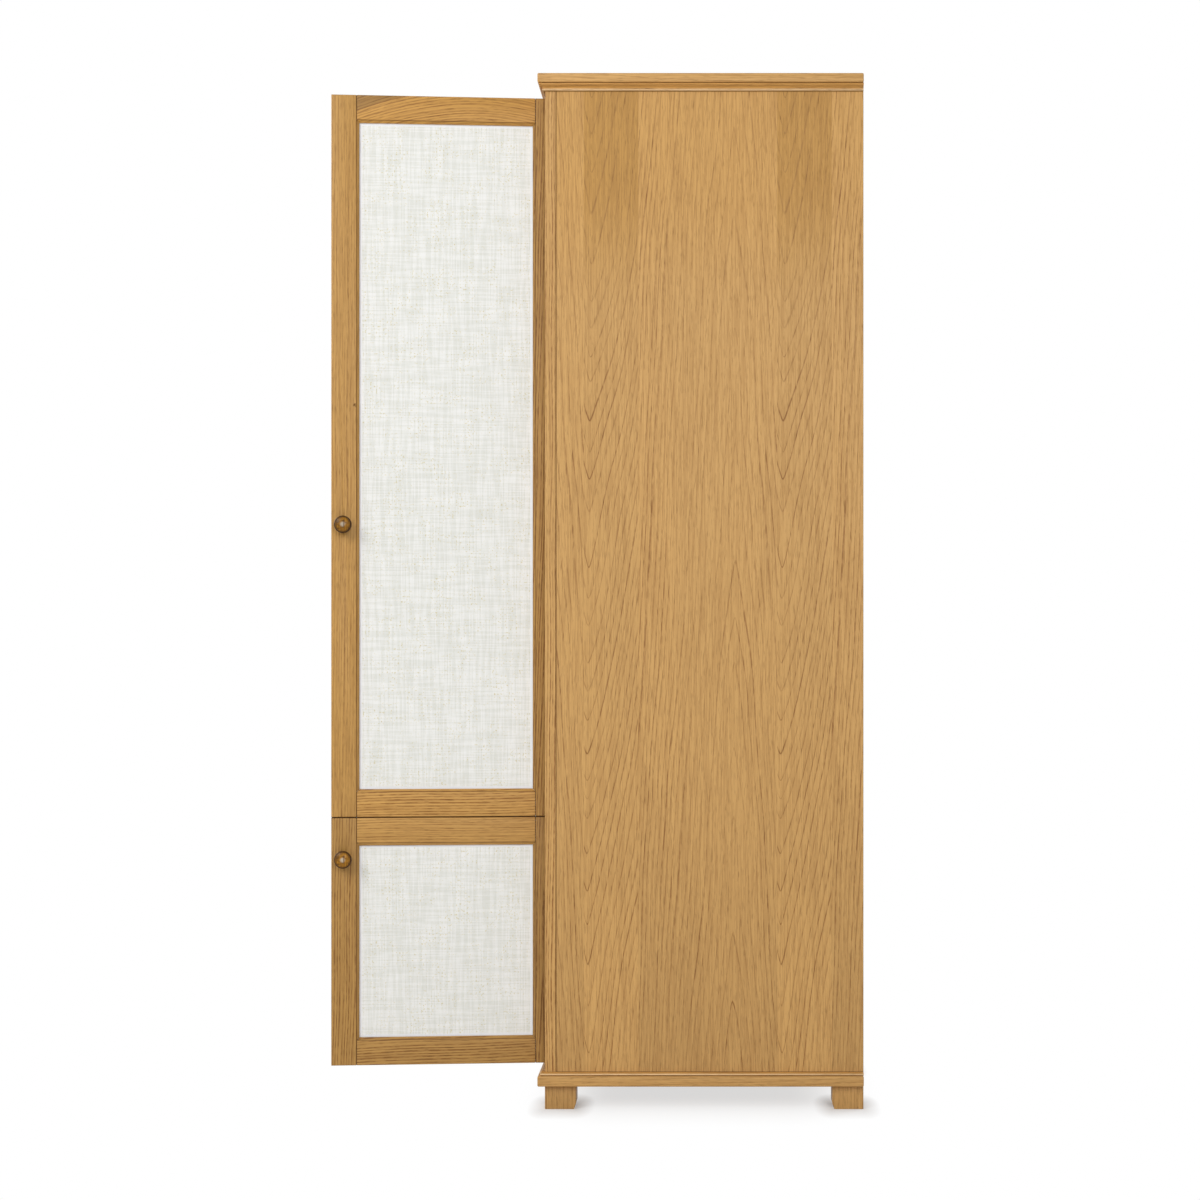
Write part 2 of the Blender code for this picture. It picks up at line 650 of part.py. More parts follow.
def add_hinge_arm(name, location, material, parent):
    """The cranked arm from the pin round the door's edge to the plate on the side.

    Its outline is drawn round the pin, as (inwards from the side, back) points.
    """
    half = ARM_THICKNESS / 2
    eye_start = math.degrees(math.asin(half / EYE_RADIUS))
    side_face = JOINT_GAP - PIVOT_FROM_SIDE
    body_face = ARM_HEIGHT - PIVOT_FROM_SIDE
    back = ARM_RETURN + ARM_THICKNESS
    outline = arc((0.0, 0.0), EYE_RADIUS, eye_start, 360.0 - eye_start, EYE_STEPS)
    outline += [
        (ARM_REACH, -half),
        (ARM_REACH, back),
        (body_face, back),
        (body_face, ARM_RETURN + ARM_LENGTH),
        (side_face, ARM_RETURN + ARM_LENGTH),
        (side_face, ARM_RETURN),
        (ARM_REACH - ARM_THICKNESS, ARM_RETURN),
        (ARM_REACH - ARM_THICKNESS, half),
    ]
    low = [(-inwards, backwards, -ARM_WIDTH / 2) for inwards, backwards in outline]
    high = [(-inwards, backwards, ARM_WIDTH / 2) for inwards, backwards in outline]
    arm = add_swept(name, low, high, material)
    wing_front = ARM_RETURN + PLATE_WING_SETBACK
    wing_low = Vector((-side_face - PLATE_THICKNESS, wing_front, -PLATE_WING_SPAN / 2))
    wing_high = Vector((-side_face, wing_front + PLATE_WING_WIDTH, PLATE_WING_SPAN / 2))
    combine(arm, add_object("plate_wing", box_mesh(wing_low, wing_high)), "UNION")
    eye_hole = add_rod("eye_hole", PIN_RADIUS + PIN_CLEARANCE, 2 * ARM_WIDTH, PIN_SEGMENTS)
    combine(arm, eye_hole, "DIFFERENCE")
    arm.parent = parent
    arm.location = location


def add_knob(door, height, materials, parent):
    """A turned knob on the free stile, and the screw that holds it from behind."""
    across = PIVOT_FROM_EDGE - DOOR_WIDTH + KNOB_FROM_EDGE
    bore = SCREW_RADIUS + JOINT_GAP
    head_low = KNOB_LENGTH - KNOB_HEAD_LENGTH
    shoulder = KNOB_LENGTH - KNOB_CROWN
    profile = [
        (0.0, SCREW_GRIP + JOINT_GAP),
        (bore, SCREW_GRIP + JOINT_GAP),
        (bore, 0.0),
        (KNOB_BASE_RADIUS, 0.0),
        (KNOB_BASE_RADIUS, KNOB_BASE_EDGE),
    ]
    waist_middle = (KNOB_BASE_LENGTH + head_low) / 2
    waist_half = (head_low - KNOB_BASE_LENGTH) / 2
    for out, up in arc((0.0, 0.0), 1.0, -90.0, 90.0):
        radius = KNOB_BASE_RADIUS - (KNOB_BASE_RADIUS - KNOB_NECK_RADIUS) * out
        profile.append((radius, waist_middle + waist_half * up))
    for out, up in arc((0.0, 0.0), 1.0, -90.0, 0.0)[1:]:
        radius = KNOB_BASE_RADIUS + (KNOB_RADIUS - KNOB_BASE_RADIUS) * out
        profile.append((radius, shoulder + (shoulder - head_low) * up))
    for out, up in arc((0.0, 0.0), 1.0, 0.0, 90.0)[1:-1]:
        profile.append((KNOB_RADIUS * out, shoulder + KNOB_CROWN * up))
    profile.append((0.0, KNOB_LENGTH))
    knob = add_turned(door + "_knob", profile, KNOB_SEGMENTS, materials["knob_oak"], parent)
    shade_round(knob)
    knob.rotation_euler.x = math.pi / 2
    knob.location = (across, -PIVOT_FROM_FRONT - JOINT_GAP, height)

    shank_end = SCREW_HEAD_LENGTH + JOINT_GAP + DOOR_THICKNESS + JOINT_GAP + SCREW_GRIP
    screw_profile = [
        (0.0, 0.0),
        (SCREW_HEAD_CROWN_RADIUS, 0.0),
        (SCREW_HEAD_RADIUS, SCREW_HEAD_EDGE),
        (SCREW_HEAD_RADIUS, SCREW_HEAD_LENGTH),
        (SCREW_RADIUS, SCREW_HEAD_LENGTH),
        (SCREW_RADIUS, shank_end),
        (0.0, shank_end),
    ]
    screw = add_turned(door + "_knob_screw", screw_profile, SCREW_SEGMENTS, materials["steel"], parent)
    shade_round(screw)
    screw.rotation_euler.x = math.pi / 2
    screw_back = DOOR_THICKNESS - PIVOT_FROM_FRONT + JOINT_GAP + SCREW_HEAD_LENGTH
    screw.location = (across, screw_back, height)


def add_door(door, low, height, knob_height, hinge_count, materials, cabinet):
    """A whole door on its axis, with its hinges' fixed arms on the carcase."""
    axis = add_empty(door + "_axis", cabinet)
    axis.location = (INNER_HALF_WIDTH - PIVOT_FROM_SIDE, PIVOT_FROM_FRONT, low)
    axis.rotation_euler.z = math.radians(DOOR_OPENING)
    hinges = hinge_heights(hinge_count, height)
    add_door_frame(door, height, knob_height, hinges, materials["oak"], axis)
    add_door_panel(door, height, materials, axis)
    add_knob(door, knob_height, materials, axis)
    for number, hinge_height in enumerate(hinges, start=1):
        add_hinge_cup(door + "_hinge_cup_" + str(number), hinge_height, materials["steel"], axis)
        add_hinge_pin(door + "_hinge_pin_" + str(number), hinge_height, materials["steel"], axis)
        arm_place = axis.location + Vector((0.0, 0.0, hinge_height))
        add_hinge_arm(door + "_hinge_arm_" + str(number), arm_place, materials["steel"], cabinet)


def stand_on_origin(cabinet):
    """Move the cabinet so that the middle of its floor plan is over the origin."""
    bpy.context.view_layer.update()
    points = []
    for obj in bpy.data.objects:
        if obj.type == "MESH":
            points += [obj.matrix_world @ vert.co for vert in obj.data.vertices]
    middle_x = (min(point.x for point in points) + max(point.x for point in points)) / 2
    middle_y = (min(point.y for point in points) + max(point.y for point in points)) / 2
    cabinet.location = (-middle_x, -middle_y, 0.0)
    bpy.context.view_layer.update()


def build_cabinet():
    """Build every piece, at its real size and place."""
    clear_scene()
    materials = {name: make_material(name, *finish) for name, finish in FINISHES.items()}
    cabinet = add_empty("cabinet")
    add_carcase(materials, cabinet)
    oak = materials["oak"]
    add_loose_shelves("upper", UPPER_SHELF_COUNT, MIDDLE_SHELF_TOP, SIDE_TOP, oak, cabinet)
    add_loose_shelves("lower", LOWER_SHELF_COUNT, BOTTOM_BOARD_TOP, MIDDLE_SHELF_LOW, oak, cabinet)
    add_door(
        "upper_door",
        UPPER_DOOR_LOW,
        UPPER_DOOR_HEIGHT,
        UPPER_KNOB_HEIGHT,
        UPPER_HINGE_COUNT,
        materials,
        cabinet,
    )
    add_door(
        "lower_door",
        LOWER_DOOR_LOW,
        LOWER_DOOR_HEIGHT,
        LOWER_KNOB_HEIGHT,
        LOWER_HINGE_COUNT,
        materials,
        cabinet,
    )
    stand_on_origin(cabinet)


build_cabinet()
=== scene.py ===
import json
import math

import bpy
from mathutils import Matrix, Vector

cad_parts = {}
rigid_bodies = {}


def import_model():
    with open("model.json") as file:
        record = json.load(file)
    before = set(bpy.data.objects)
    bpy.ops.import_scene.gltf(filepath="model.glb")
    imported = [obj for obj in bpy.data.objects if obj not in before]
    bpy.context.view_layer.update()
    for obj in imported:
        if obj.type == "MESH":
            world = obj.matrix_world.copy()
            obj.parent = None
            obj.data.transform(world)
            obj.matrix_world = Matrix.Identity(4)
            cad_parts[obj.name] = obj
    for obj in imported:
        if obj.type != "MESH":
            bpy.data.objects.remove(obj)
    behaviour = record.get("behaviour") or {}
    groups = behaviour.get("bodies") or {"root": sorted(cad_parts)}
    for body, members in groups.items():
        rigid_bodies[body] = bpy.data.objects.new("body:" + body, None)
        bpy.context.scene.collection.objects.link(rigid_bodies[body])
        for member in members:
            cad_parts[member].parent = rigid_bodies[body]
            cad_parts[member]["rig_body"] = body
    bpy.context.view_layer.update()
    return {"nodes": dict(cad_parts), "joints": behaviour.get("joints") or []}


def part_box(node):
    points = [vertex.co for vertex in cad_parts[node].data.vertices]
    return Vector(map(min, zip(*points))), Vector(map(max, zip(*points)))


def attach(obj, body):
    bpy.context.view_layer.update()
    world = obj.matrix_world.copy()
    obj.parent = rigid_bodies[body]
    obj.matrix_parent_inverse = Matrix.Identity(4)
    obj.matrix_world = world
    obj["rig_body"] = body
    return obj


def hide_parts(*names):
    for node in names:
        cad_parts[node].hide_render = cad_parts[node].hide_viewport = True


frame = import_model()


# Camera
# It stands level and square to the cabinet's right-hand side, with the open doors to its left.
# The lens is shifted, because the photograph is cut from a wider view.
CAMERA_DISTANCE = 4.480
CAMERA_HEIGHT = 0.834
CAMERA_BEHIND_FRONT = 0.3069
PHOTO_WIDTH = 1200
FOCAL_PIXELS = 2440
VIEW_CENTRE_X = 712
VIEW_CENTRE_Y = 655
SENSOR = 36.0

side_low, side_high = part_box("right_side_panel")
front_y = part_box("right_front_stile")[0].y
camera_data = bpy.data.cameras.new("camera")
camera_data.sensor_width = SENSOR
camera_data.lens = FOCAL_PIXELS / PHOTO_WIDTH * SENSOR
camera_data.shift_x = (PHOTO_WIDTH / 2 - VIEW_CENTRE_X) / PHOTO_WIDTH
camera_data.shift_y = (VIEW_CENTRE_Y - PHOTO_WIDTH / 2) / PHOTO_WIDTH
camera = bpy.data.objects.new("camera", camera_data)
bpy.context.scene.collection.objects.link(camera)
camera.location = (side_high.x + CAMERA_DISTANCE, front_y + CAMERA_BEHIND_FRONT, CAMERA_HEIGHT)
camera.rotation_euler = (math.pi / 2, 0.0, math.pi / 2)
bpy.context.scene.camera = camera


# Studio
# A white sweep: a pale floor that keeps the cabinet's soft shadow, a white surround and large
# lamps. The camera and all that is glossy see white all round, and the lamps do the lighting.
FLOOR_HALF = 40.0
FLOOR_COLOUR = (0.84, 0.84, 0.845, 1.0)
FLOOR_SHADE_INSET = 0.14
FLOOR_FADE = 0.32
FLOOR_WHITE_SHARE = 0.67
FLOOR_NARROWNESS = 1.7
FOOT_SHADE = 0.34
FOOT_SHADE_REACH = 0.10
FOOT_SHADE_NARROWNESS = 3.0
SURROUND_LIGHT = 0.36
LAMPS = {
    "key": ((3.6, -2.4, 3.1), (0.2, -0.1, 1.1), 2.2, 98.0),
    "camera_side": ((5.4, 1.1, 2.2), (0.2, 0.0, 1.0), 1.5, 56.0),
    "front": ((-1.6, -3.6, 2.6), (-0.05, 0.1, 0.9), 2.0, 56.0),
    "rear": ((-2.8, 3.2, 2.8), (0.0, 0.2, 1.0), 2.0, 50.0),
}


def wire(tree, socket, value):
    """Feed a node's socket from another node, or set its own value."""
    if isinstance(value, bpy.types.NodeSocket):
        tree.links.new(value, socket)
    else:
        socket.default_value = value


def calculate(tree, operation, *values):
    """A Math node on sockets or numbers."""
    node = tree.nodes.new("ShaderNodeMath")
    node.operation = operation
    for socket, value in zip(node.inputs, values):
        wire(tree, socket, value)
    return node.outputs[0]


def spread(tree, value, low, high, to_low=0.0, to_high=1.0, smooth=True):
    """A value remapped from one range to another, and clamped."""
    node = tree.nodes.new("ShaderNodeMapRange")
    node.interpolation_type = "SMOOTHSTEP" if smooth else "LINEAR"
    wire(tree, node.inputs["Value"], value)
    node.inputs["From Min"].default_value = low
    node.inputs["From Max"].default_value = high
    node.inputs["To Min"].default_value = to_low
    node.inputs["To Max"].default_value = to_high
    return node.outputs["Result"]


def split(tree, vector):
    """A vector's three parts."""
    parts = tree.nodes.new("ShaderNodeSeparateXYZ")
    tree.links.new(vector, parts.inputs[0])
    return parts.outputs


def distance_from(tree, value, middle):
    """How far a value is from another, to either side."""
    return calculate(tree, "ABSOLUTE", calculate(tree, "SUBTRACT", value, middle))


def beyond(tree, value, low, high):
    """How far a coordinate lies outside a band."""
    off_middle = distance_from(tree, value, (low + high) / 2)
    past_end = calculate(tree, "SUBTRACT", off_middle, (high - low) / 2)
    return calculate(tree, "MAXIMUM", past_end, 0.0)


def floor_distance(tree, ground, low, high, inset, narrowness):
    """How far a place on the floor is from a box that stands on it, counted more along Y."""
    out_x = beyond(tree, ground["X"], low.x + inset, high.x - inset)
    out_y = beyond(tree, ground["Y"], low.y + inset, high.y - inset)
    out_y = calculate(tree, "MULTIPLY", out_y, narrowness)
    y_square = calculate(tree, "MULTIPLY", out_y, out_y)
    return calculate(tree, "SQRT", calculate(tree, "MULTIPLY_ADD", out_x, out_x, y_square))


def sees_white(tree):
    """1 for rays from the camera and for reflected and refracted ones, else 0."""
    path = tree.nodes.new("ShaderNodeLightPath")
    seen = calculate(tree, "MAXIMUM", path.outputs["Is Camera Ray"], path.outputs["Is Glossy Ray"])
    return calculate(tree, "MAXIMUM", seen, path.outputs["Is Transmission Ray"])


bpy.ops.mesh.primitive_plane_add(size=2 * FLOOR_HALF, location=(0.0, 0.0, 0.0))
floor = bpy.context.object
floor.name = "floor"
floor_material = bpy.data.materials.new("studio_floor")
floor_material.use_nodes = True
tree = floor_material.node_tree
tree.nodes.clear()
paper = tree.nodes.new("ShaderNodeBsdfDiffuse")
paper.inputs["Color"].default_value = FLOOR_COLOUR
glow = tree.nodes.new("ShaderNodeEmission")
glow.inputs["Strength"].default_value = 1.0
ground = split(tree, tree.nodes.new("ShaderNodeTexCoord").outputs["Object"])
away = floor_distance(tree, ground, *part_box("base_slab"), FLOOR_SHADE_INSET, FLOOR_NARROWNESS)
white_share = spread(tree, away, 0.0, FLOOR_FADE, FLOOR_WHITE_SHARE, 1.0)
# Round each foot less white shows: a painted shade over the floor's own contact shadow.
for foot in ("front_left_foot", "front_right_foot", "rear_left_foot", "rear_right_foot"):
    near_foot = floor_distance(tree, ground, *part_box(foot), 0.0, FOOT_SHADE_NARROWNESS)
    foot_share = spread(tree, near_foot, 0.0, FOOT_SHADE_REACH, FOOT_SHADE, 1.0, smooth=False)
    white_share = calculate(tree, "MULTIPLY", white_share, foot_share)
floor_mix = tree.nodes.new("ShaderNodeMixShader")
tree.links.new(calculate(tree, "MULTIPLY", white_share, sees_white(tree)), floor_mix.inputs[0])
tree.links.new(paper.outputs[0], floor_mix.inputs[1])
tree.links.new(glow.outputs[0], floor_mix.inputs[2])
floor_output = tree.nodes.new("ShaderNodeOutputMaterial")
tree.links.new(floor_mix.outputs[0], floor_output.inputs["Surface"])
floor.data.materials.append(floor_material)

world = bpy.data.worlds.new("studio_surround")
bpy.context.scene.world = world
world.use_nodes = True
tree = world.node_tree
tree.nodes["Background"].inputs["Color"].default_value = (1.0, 1.0, 1.0, 1.0)
surround = spread(tree, sees_white(tree), 0.0, 1.0, SURROUND_LIGHT, 1.0, smooth=False)
tree.links.new(surround, tree.nodes["Background"].inputs["Strength"])

for lamp_name, (place, target, width, power) in LAMPS.items():
    lamp_data = bpy.data.lights.new(lamp_name, "AREA")
    lamp_data.shape = "SQUARE"
    lamp_data.size = width
    lamp_data.energy = power
    lamp = bpy.data.objects.new(lamp_name, lamp_data)
    bpy.context.scene.collection.objects.link(lamp)
    lamp.location = place
    lamp.rotation_euler = (Vector(target) - Vector(place)).to_track_quat("-Z", "Y").to_euler()
bpy.context.scene.view_settings.view_transform = "Standard"


# Feet
# Four square blocks of oak, their grain upright, sawn to a chamfer towards the floor on their two
# inner faces. Their arrises are rubbed round with paper before the lacquer goes on.
FOOT_ROUNDING = 0.0005
FOOT_TAPER = 0.03
FEET = {
    "front_left_foot": (0.060, 0.012, 0.90),
    "front_right_foot": (0.055, 0.030, 0.86),
    "rear_left_foot": (-0.070, 0.020, 0.95),
    "rear_right_foot": (-0.050, 0.024, 0.95),
}
OAK_PALE = (0.630, 0.362, 0.120, 1.0)
OAK_DARK = (0.290, 0.128, 0.030, 1.0)
OAK_PORE = (0.160, 0.068, 0.016, 1.0)
OAK_SETTINGS = {
    "heart": 0.02,
    "depth": 0.05,
    "taper": 0.02,
    "ring_width": 0.0075,
    "pale": OAK_PALE,
    "dark": OAK_DARK,
    "pore": OAK_PORE,
    "tone": 1.0,
    "figure": 1.0,
    "seam": 0.0,
}
OAK_SPECULAR = 0.30
OAK_BUMP = (0.35, 0.0002)
HEART_BEND = ((3.0, 3.0, 0.8), 0.024)
HEART_WOBBLE = ((50.0, 50.0, 8.0), 0.0020)
RING_BEND = ((5.0, 5.0, 1.7), 0.040)
RING_WOBBLE = ((18.0, 18.0, 4.0), 0.0044)
RING_RHYTHM = ((0.4, 0.0, 0.0), 1.6)
RING_PEAK = 0.40
RING_PEAK_ROUNDING = 0.002
RING_LINE = (0.0004, 0.0014)
RING_SLOPE = 0.17
RING_FAINTEST = 0.50
LATE_WOOD_START = (0.05, 0.50)
LATE_WOOD_END = (0.50, 0.62, 1.0, 0.0)
LATE_WOOD_SHARE = 0.30
FAINT_ZONES = ((7.0, 7.0, 1.1), (0.36, 0.56, 0.50, 1.0), 1.0)
LINE_BREAKS = ((260.0, 260.0, 60.0), (0.34, 0.60, 0.35, 1.0))
FIBRES = ((420.0, 420.0, 11.0), (0.36, 0.64))
STREAKS = ((110.0, 110.0, 2.2), (0.30, 0.70), 1.0)
PORES = ((620.0, 620.0, 52.0), (0.55, 0.68), 1.0)
PORES_IN_LINES = 0.60
TONE_PATCHES = ((7.0, 7.0, 0.8), 0.14)
LINE_DARKNESS = 0.90
FIBRE_DARKNESS = 0.28
STREAK_DARKNESS = 0.05
PORE_DARKNESS = 0.60
OAK_ROUGHNESS = 0.42
PORE_ROUGHNESS = 0.22
FIBRE_ROUGHNESS = 0.05
LINE_DEPTH = 0.35
FIBRE_DEPTH = 0.15
MERGE_DISTANCE = 0.00001
FLAT_ANGLE = math.radians(0.3)
ARRIS_ANGLE = math.radians(30.0)
ARRIS_SEGMENTS = 2
SMOOTH_ANGLE = math.radians(50.0)


def cloud(tree, position, factors, detail=2.0):
    """Noise with its own fineness along each axis, per metre, from 0 to 1."""
    scaled = tree.nodes.new("ShaderNodeVectorMath")
    scaled.operation = "MULTIPLY"
    wire(tree, scaled.inputs[0], position)
    scaled.inputs[1].default_value = factors
    node = tree.nodes.new("ShaderNodeTexNoise")
    node.inputs["Scale"].default_value = 1.0
    node.inputs["Detail"].default_value = detail
    tree.links.new(scaled.outputs[0], node.inputs["Vector"])
    return node.outputs["Fac"]


def mottle(tree, position, factors, band, detail=2.0):
    """Noise made a mask: a band of its values runs from 0 to 1, or from one value to another."""
    return spread(tree, cloud(tree, position, factors, detail), *band)


def sway(tree, position, factors, reach):
    """Noise about zero, for pushing a pattern to either side by up to half the reach."""
    centred = calculate(tree, "SUBTRACT", cloud(tree, position, factors, 1.0), 0.5)
    return calculate(tree, "MULTIPLY", centred, reach)


def blend_colours(tree, share, first, second):
    """One colour over another, by a share from 0 to 1."""
    node = tree.nodes.new("ShaderNodeMix")
    node.data_type = "RGBA"
    wire(tree, node.inputs[0], share)
    wire(tree, node.inputs[6], first)
    wire(tree, node.inputs[7], second)
    return node.outputs[2]


def join(tree, x, y, z):
    """A vector from three parts."""
    whole = tree.nodes.new("ShaderNodeCombineXYZ")
    for socket, value in zip(whole.inputs, (x, y, z)):
        wire(tree, socket, value)
    return whole.outputs[0]


def open_group(name, inputs, outputs):
    """A new shader node group with named sockets, and its inner ends."""
    group = bpy.data.node_groups.new(name, "ShaderNodeTree")
    for socket_name, kind in inputs:
        group.interface.new_socket(socket_name, in_out="INPUT", socket_type="NodeSocket" + kind)
    for socket_name, kind in outputs:
        group.interface.new_socket(socket_name, in_out="OUTPUT", socket_type="NodeSocket" + kind)
    given = group.nodes.new("NodeGroupInput").outputs
    result = group.nodes.new("NodeGroupOutput").inputs
    return group, given, result


def make_oak_grain():
    """Oak as it is sawn: X runs across the face, Y into the wood, and Z along the grain."""
    inputs = [("Position", "Vector"), ("Heart", "Float"), ("Depth", "Float"), ("Taper", "Float")]
    inputs += [("Ring Width", "Float"), ("Pale", "Color"), ("Dark", "Color"), ("Pore", "Color")]
    inputs += [("Tone", "Float"), ("Figure", "Float"), ("Seam", "Float")]
    outputs = [("Color", "Color"), ("Roughness", "Float"), ("Height", "Float")]
    group, given, result = open_group("oak_grain", inputs, outputs)
    position = given["Position"]
    parts = split(group, position)

    # Growth rings are nested cones round a heart that lies behind the board.
    across = calculate(group, "SUBTRACT", parts["X"], given["Heart"])
    across = calculate(group, "ADD", across, sway(group, position, *HEART_BEND))
    across = calculate(group, "ADD", across, sway(group, position, *HEART_WOBBLE))
    deep = calculate(group, "ADD", parts["Y"], given["Depth"])
    square = calculate(group, "MULTIPLY", across, across)
    from_heart = calculate(group, "SQRT", calculate(group, "MULTIPLY_ADD", deep, deep, square))
    peak = calculate(group, "SQRT", calculate(group, "ADD", square, RING_PEAK_ROUNDING**2))
    radius = calculate(group, "MULTIPLY_ADD", peak, RING_PEAK, from_heart)
    radius = calculate(group, "MULTIPLY_ADD", parts["Z"], given["Taper"], radius)
    radius = calculate(group, "ADD", radius, sway(group, position, *RING_BEND))
    radius = calculate(group, "ADD", radius, sway(group, position, *RING_WOBBLE))
    ring = calculate(group, "DIVIDE", radius, given["Ring Width"])
    rhythm = sway(group, join(group, ring, 0.0, 0.0), *RING_RHYTHM)
    ring = calculate(group, "ADD", ring, rhythm)

    # A ring's line keeps its thickness where the face cuts the ring at a slant.
    slant = calculate(group, "DIVIDE", 1.0, from_heart)
    slant = calculate(group, "ADD", slant, calculate(group, "DIVIDE", RING_PEAK, peak))
    slant = calculate(group, "MULTIPLY", slant, across)
    slant = calculate(group, "MULTIPLY_ADD", slant, slant, RING_SLOPE**2)
    slant = calculate(group, "SQRT", slant)
    within_ring = calculate(group, "FRACT", ring)
    off_line = distance_from(group, within_ring, 0.5)
    off_line = calculate(group, "MULTIPLY", off_line, given["Ring Width"])
    off_line = calculate(group, "DIVIDE", off_line, slant)
    line = spread(group, off_line, *RING_LINE, 1.0, 0.0)
    chance = group.nodes.new("ShaderNodeTexWhiteNoise")
    chance.noise_dimensions = "1D"
    group.links.new(calculate(group, "FLOOR", ring), chance.inputs["W"])
    strength = spread(group, chance.outputs["Value"], 0.0, 1.0, RING_FAINTEST, 1.0)
    line = calculate(group, "MULTIPLY", line, strength)
    late_wood = spread(group, within_ring, *LATE_WOOD_START)
    late_wood = calculate(group, "MULTIPLY", late_wood, slant)
    late_wood_end = spread(group, within_ring, *LATE_WOOD_END)
    late_wood = calculate(group, "MULTIPLY", late_wood, late_wood_end)
    late_wood = calculate(group, "MULTIPLY", late_wood, LATE_WOOD_SHARE)
    line = calculate(group, "MAXIMUM", line, late_wood)
    zone = mottle(group, position, *FAINT_ZONES)
    line = calculate(group, "MULTIPLY", line, calculate(group, "MULTIPLY", zone, given["Figure"]))
    line = calculate(group, "MULTIPLY", line, mottle(group, position, *LINE_BREAKS))

    # Fibres and pores are short dark flecks along the grain, thickest in the ring lines.
    fibre = mottle(group, position, *FIBRES)
    streak = mottle(group, position, *STREAKS)
    pore = mottle(group, position, *PORES)
    pore_share = calculate(group, "MULTIPLY_ADD", line, PORES_IN_LINES, 1.0 - PORES_IN_LINES)
    pore = calculate(group, "MULTIPLY", pore, pore_share)
    darkness = calculate(group, "MULTIPLY", line, LINE_DARKNESS)
    darkness = calculate(group, "MULTIPLY_ADD", fibre, FIBRE_DARKNESS, darkness)
    darkness = calculate(group, "MULTIPLY_ADD", streak, STREAK_DARKNESS, darkness)
    colour = blend_colours(group, darkness, given["Pale"], given["Dark"])
    pore_darkness = calculate(group, "MULTIPLY", pore, PORE_DARKNESS)
    colour = blend_colours(group, pore_darkness, colour, given["Pore"])
    # Dark lines, and painted shade in quirks, at contacts and in the door gap, take the pore
    # colour.
    colour = blend_colours(group, given["Seam"], colour, given["Pore"])
    patch = sway(group, position, *TONE_PATCHES)
    toned = group.nodes.new("ShaderNodeVectorMath")
    toned.operation = "SCALE"
    group.links.new(colour, toned.inputs[0])
    group.links.new(calculate(group, "ADD", patch, given["Tone"]), toned.inputs["Scale"])
    group.links.new(toned.outputs[0], result["Color"])
    rough = calculate(group, "MULTIPLY_ADD", pore, PORE_ROUGHNESS, OAK_ROUGHNESS)
    rough = calculate(group, "MULTIPLY_ADD", fibre, FIBRE_ROUGHNESS, rough)
    group.links.new(calculate(group, "MAXIMUM", rough, given["Seam"]), result["Roughness"])
    height = calculate(group, "MULTIPLY_ADD", pore, -1.0, 1.0)
    height = calculate(group, "MULTIPLY_ADD", line, -LINE_DEPTH, height)
    height = calculate(group, "MULTIPLY_ADD", fibre, -FIBRE_DEPTH, height)
    group.links.new(height, result["Height"])
    return group


OAK_GRAIN = make_oak_grain()


def new_material(name):
    """A material, its tree, its shader, and the surface's own position."""
    material = bpy.data.materials.new(name)
    material.use_nodes = True
    tree = material.node_tree
    place = tree.nodes.new("ShaderNodeTexCoord").outputs["Object"]
    return material, tree, tree.nodes["Principled BSDF"], place


def add_bump(tree, shader, height, strength, distance):
    """Raise a surface's small relief by a height from 0 to 1."""
    bump = tree.nodes.new("ShaderNodeBump")
    bump.inputs["Strength"].default_value = strength
    bump.inputs["Distance"].default_value = distance
    tree.links.new(height, bump.inputs["Height"])
    tree.links.new(bump.outputs["Normal"], shader.inputs["Normal"])


def oak_finish(tree, shader, position, **values):
    """Sawn oak under satin lacquer. The values set the grain group's inputs."""
    grain = tree.nodes.new("ShaderNodeGroup")
    grain.node_tree = OAK_GRAIN
    wire(tree, grain.inputs["Position"], position)
    for setting, value in (OAK_SETTINGS | values).items():
        wire(tree, grain.inputs[setting.replace("_", " ").title()], value)
    tree.links.new(grain.outputs["Color"], shader.inputs["Base Color"])
    tree.links.new(grain.outputs["Roughness"], shader.inputs["Roughness"])
    shader.inputs["Specular IOR Level"].default_value = OAK_SPECULAR
    add_bump(tree, shader, grain.outputs["Height"], *OAK_BUMP)


def board_position(tree, place, order, middle=(0.0, 0.0, 0.0)):
    """The object's axes that run across a board, into it and along its grain, from its middle."""
    from_middle = tree.nodes.new("ShaderNodeVectorMath")
    from_middle.operation = "SUBTRACT"
    tree.links.new(place, from_middle.inputs[0])
    from_middle.inputs[1].default_value = middle
    parts = split(tree, from_middle.outputs[0])
    return join(tree, *(parts[letter] for letter in order))


def sawn_oak(name, node, order, **values):
    """Oak sawn solid for one piece, measured from that piece's middle."""
    low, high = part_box(node)
    material, tree, shader, place = new_material(name)
    oak_finish(tree, shader, board_position(tree, place, order, (low + high) / 2), **values)
    return material


def paint(obj, material):
    """Give a piece one material and no other."""
    obj.data.materials.clear()
    obj.data.materials.append(material)


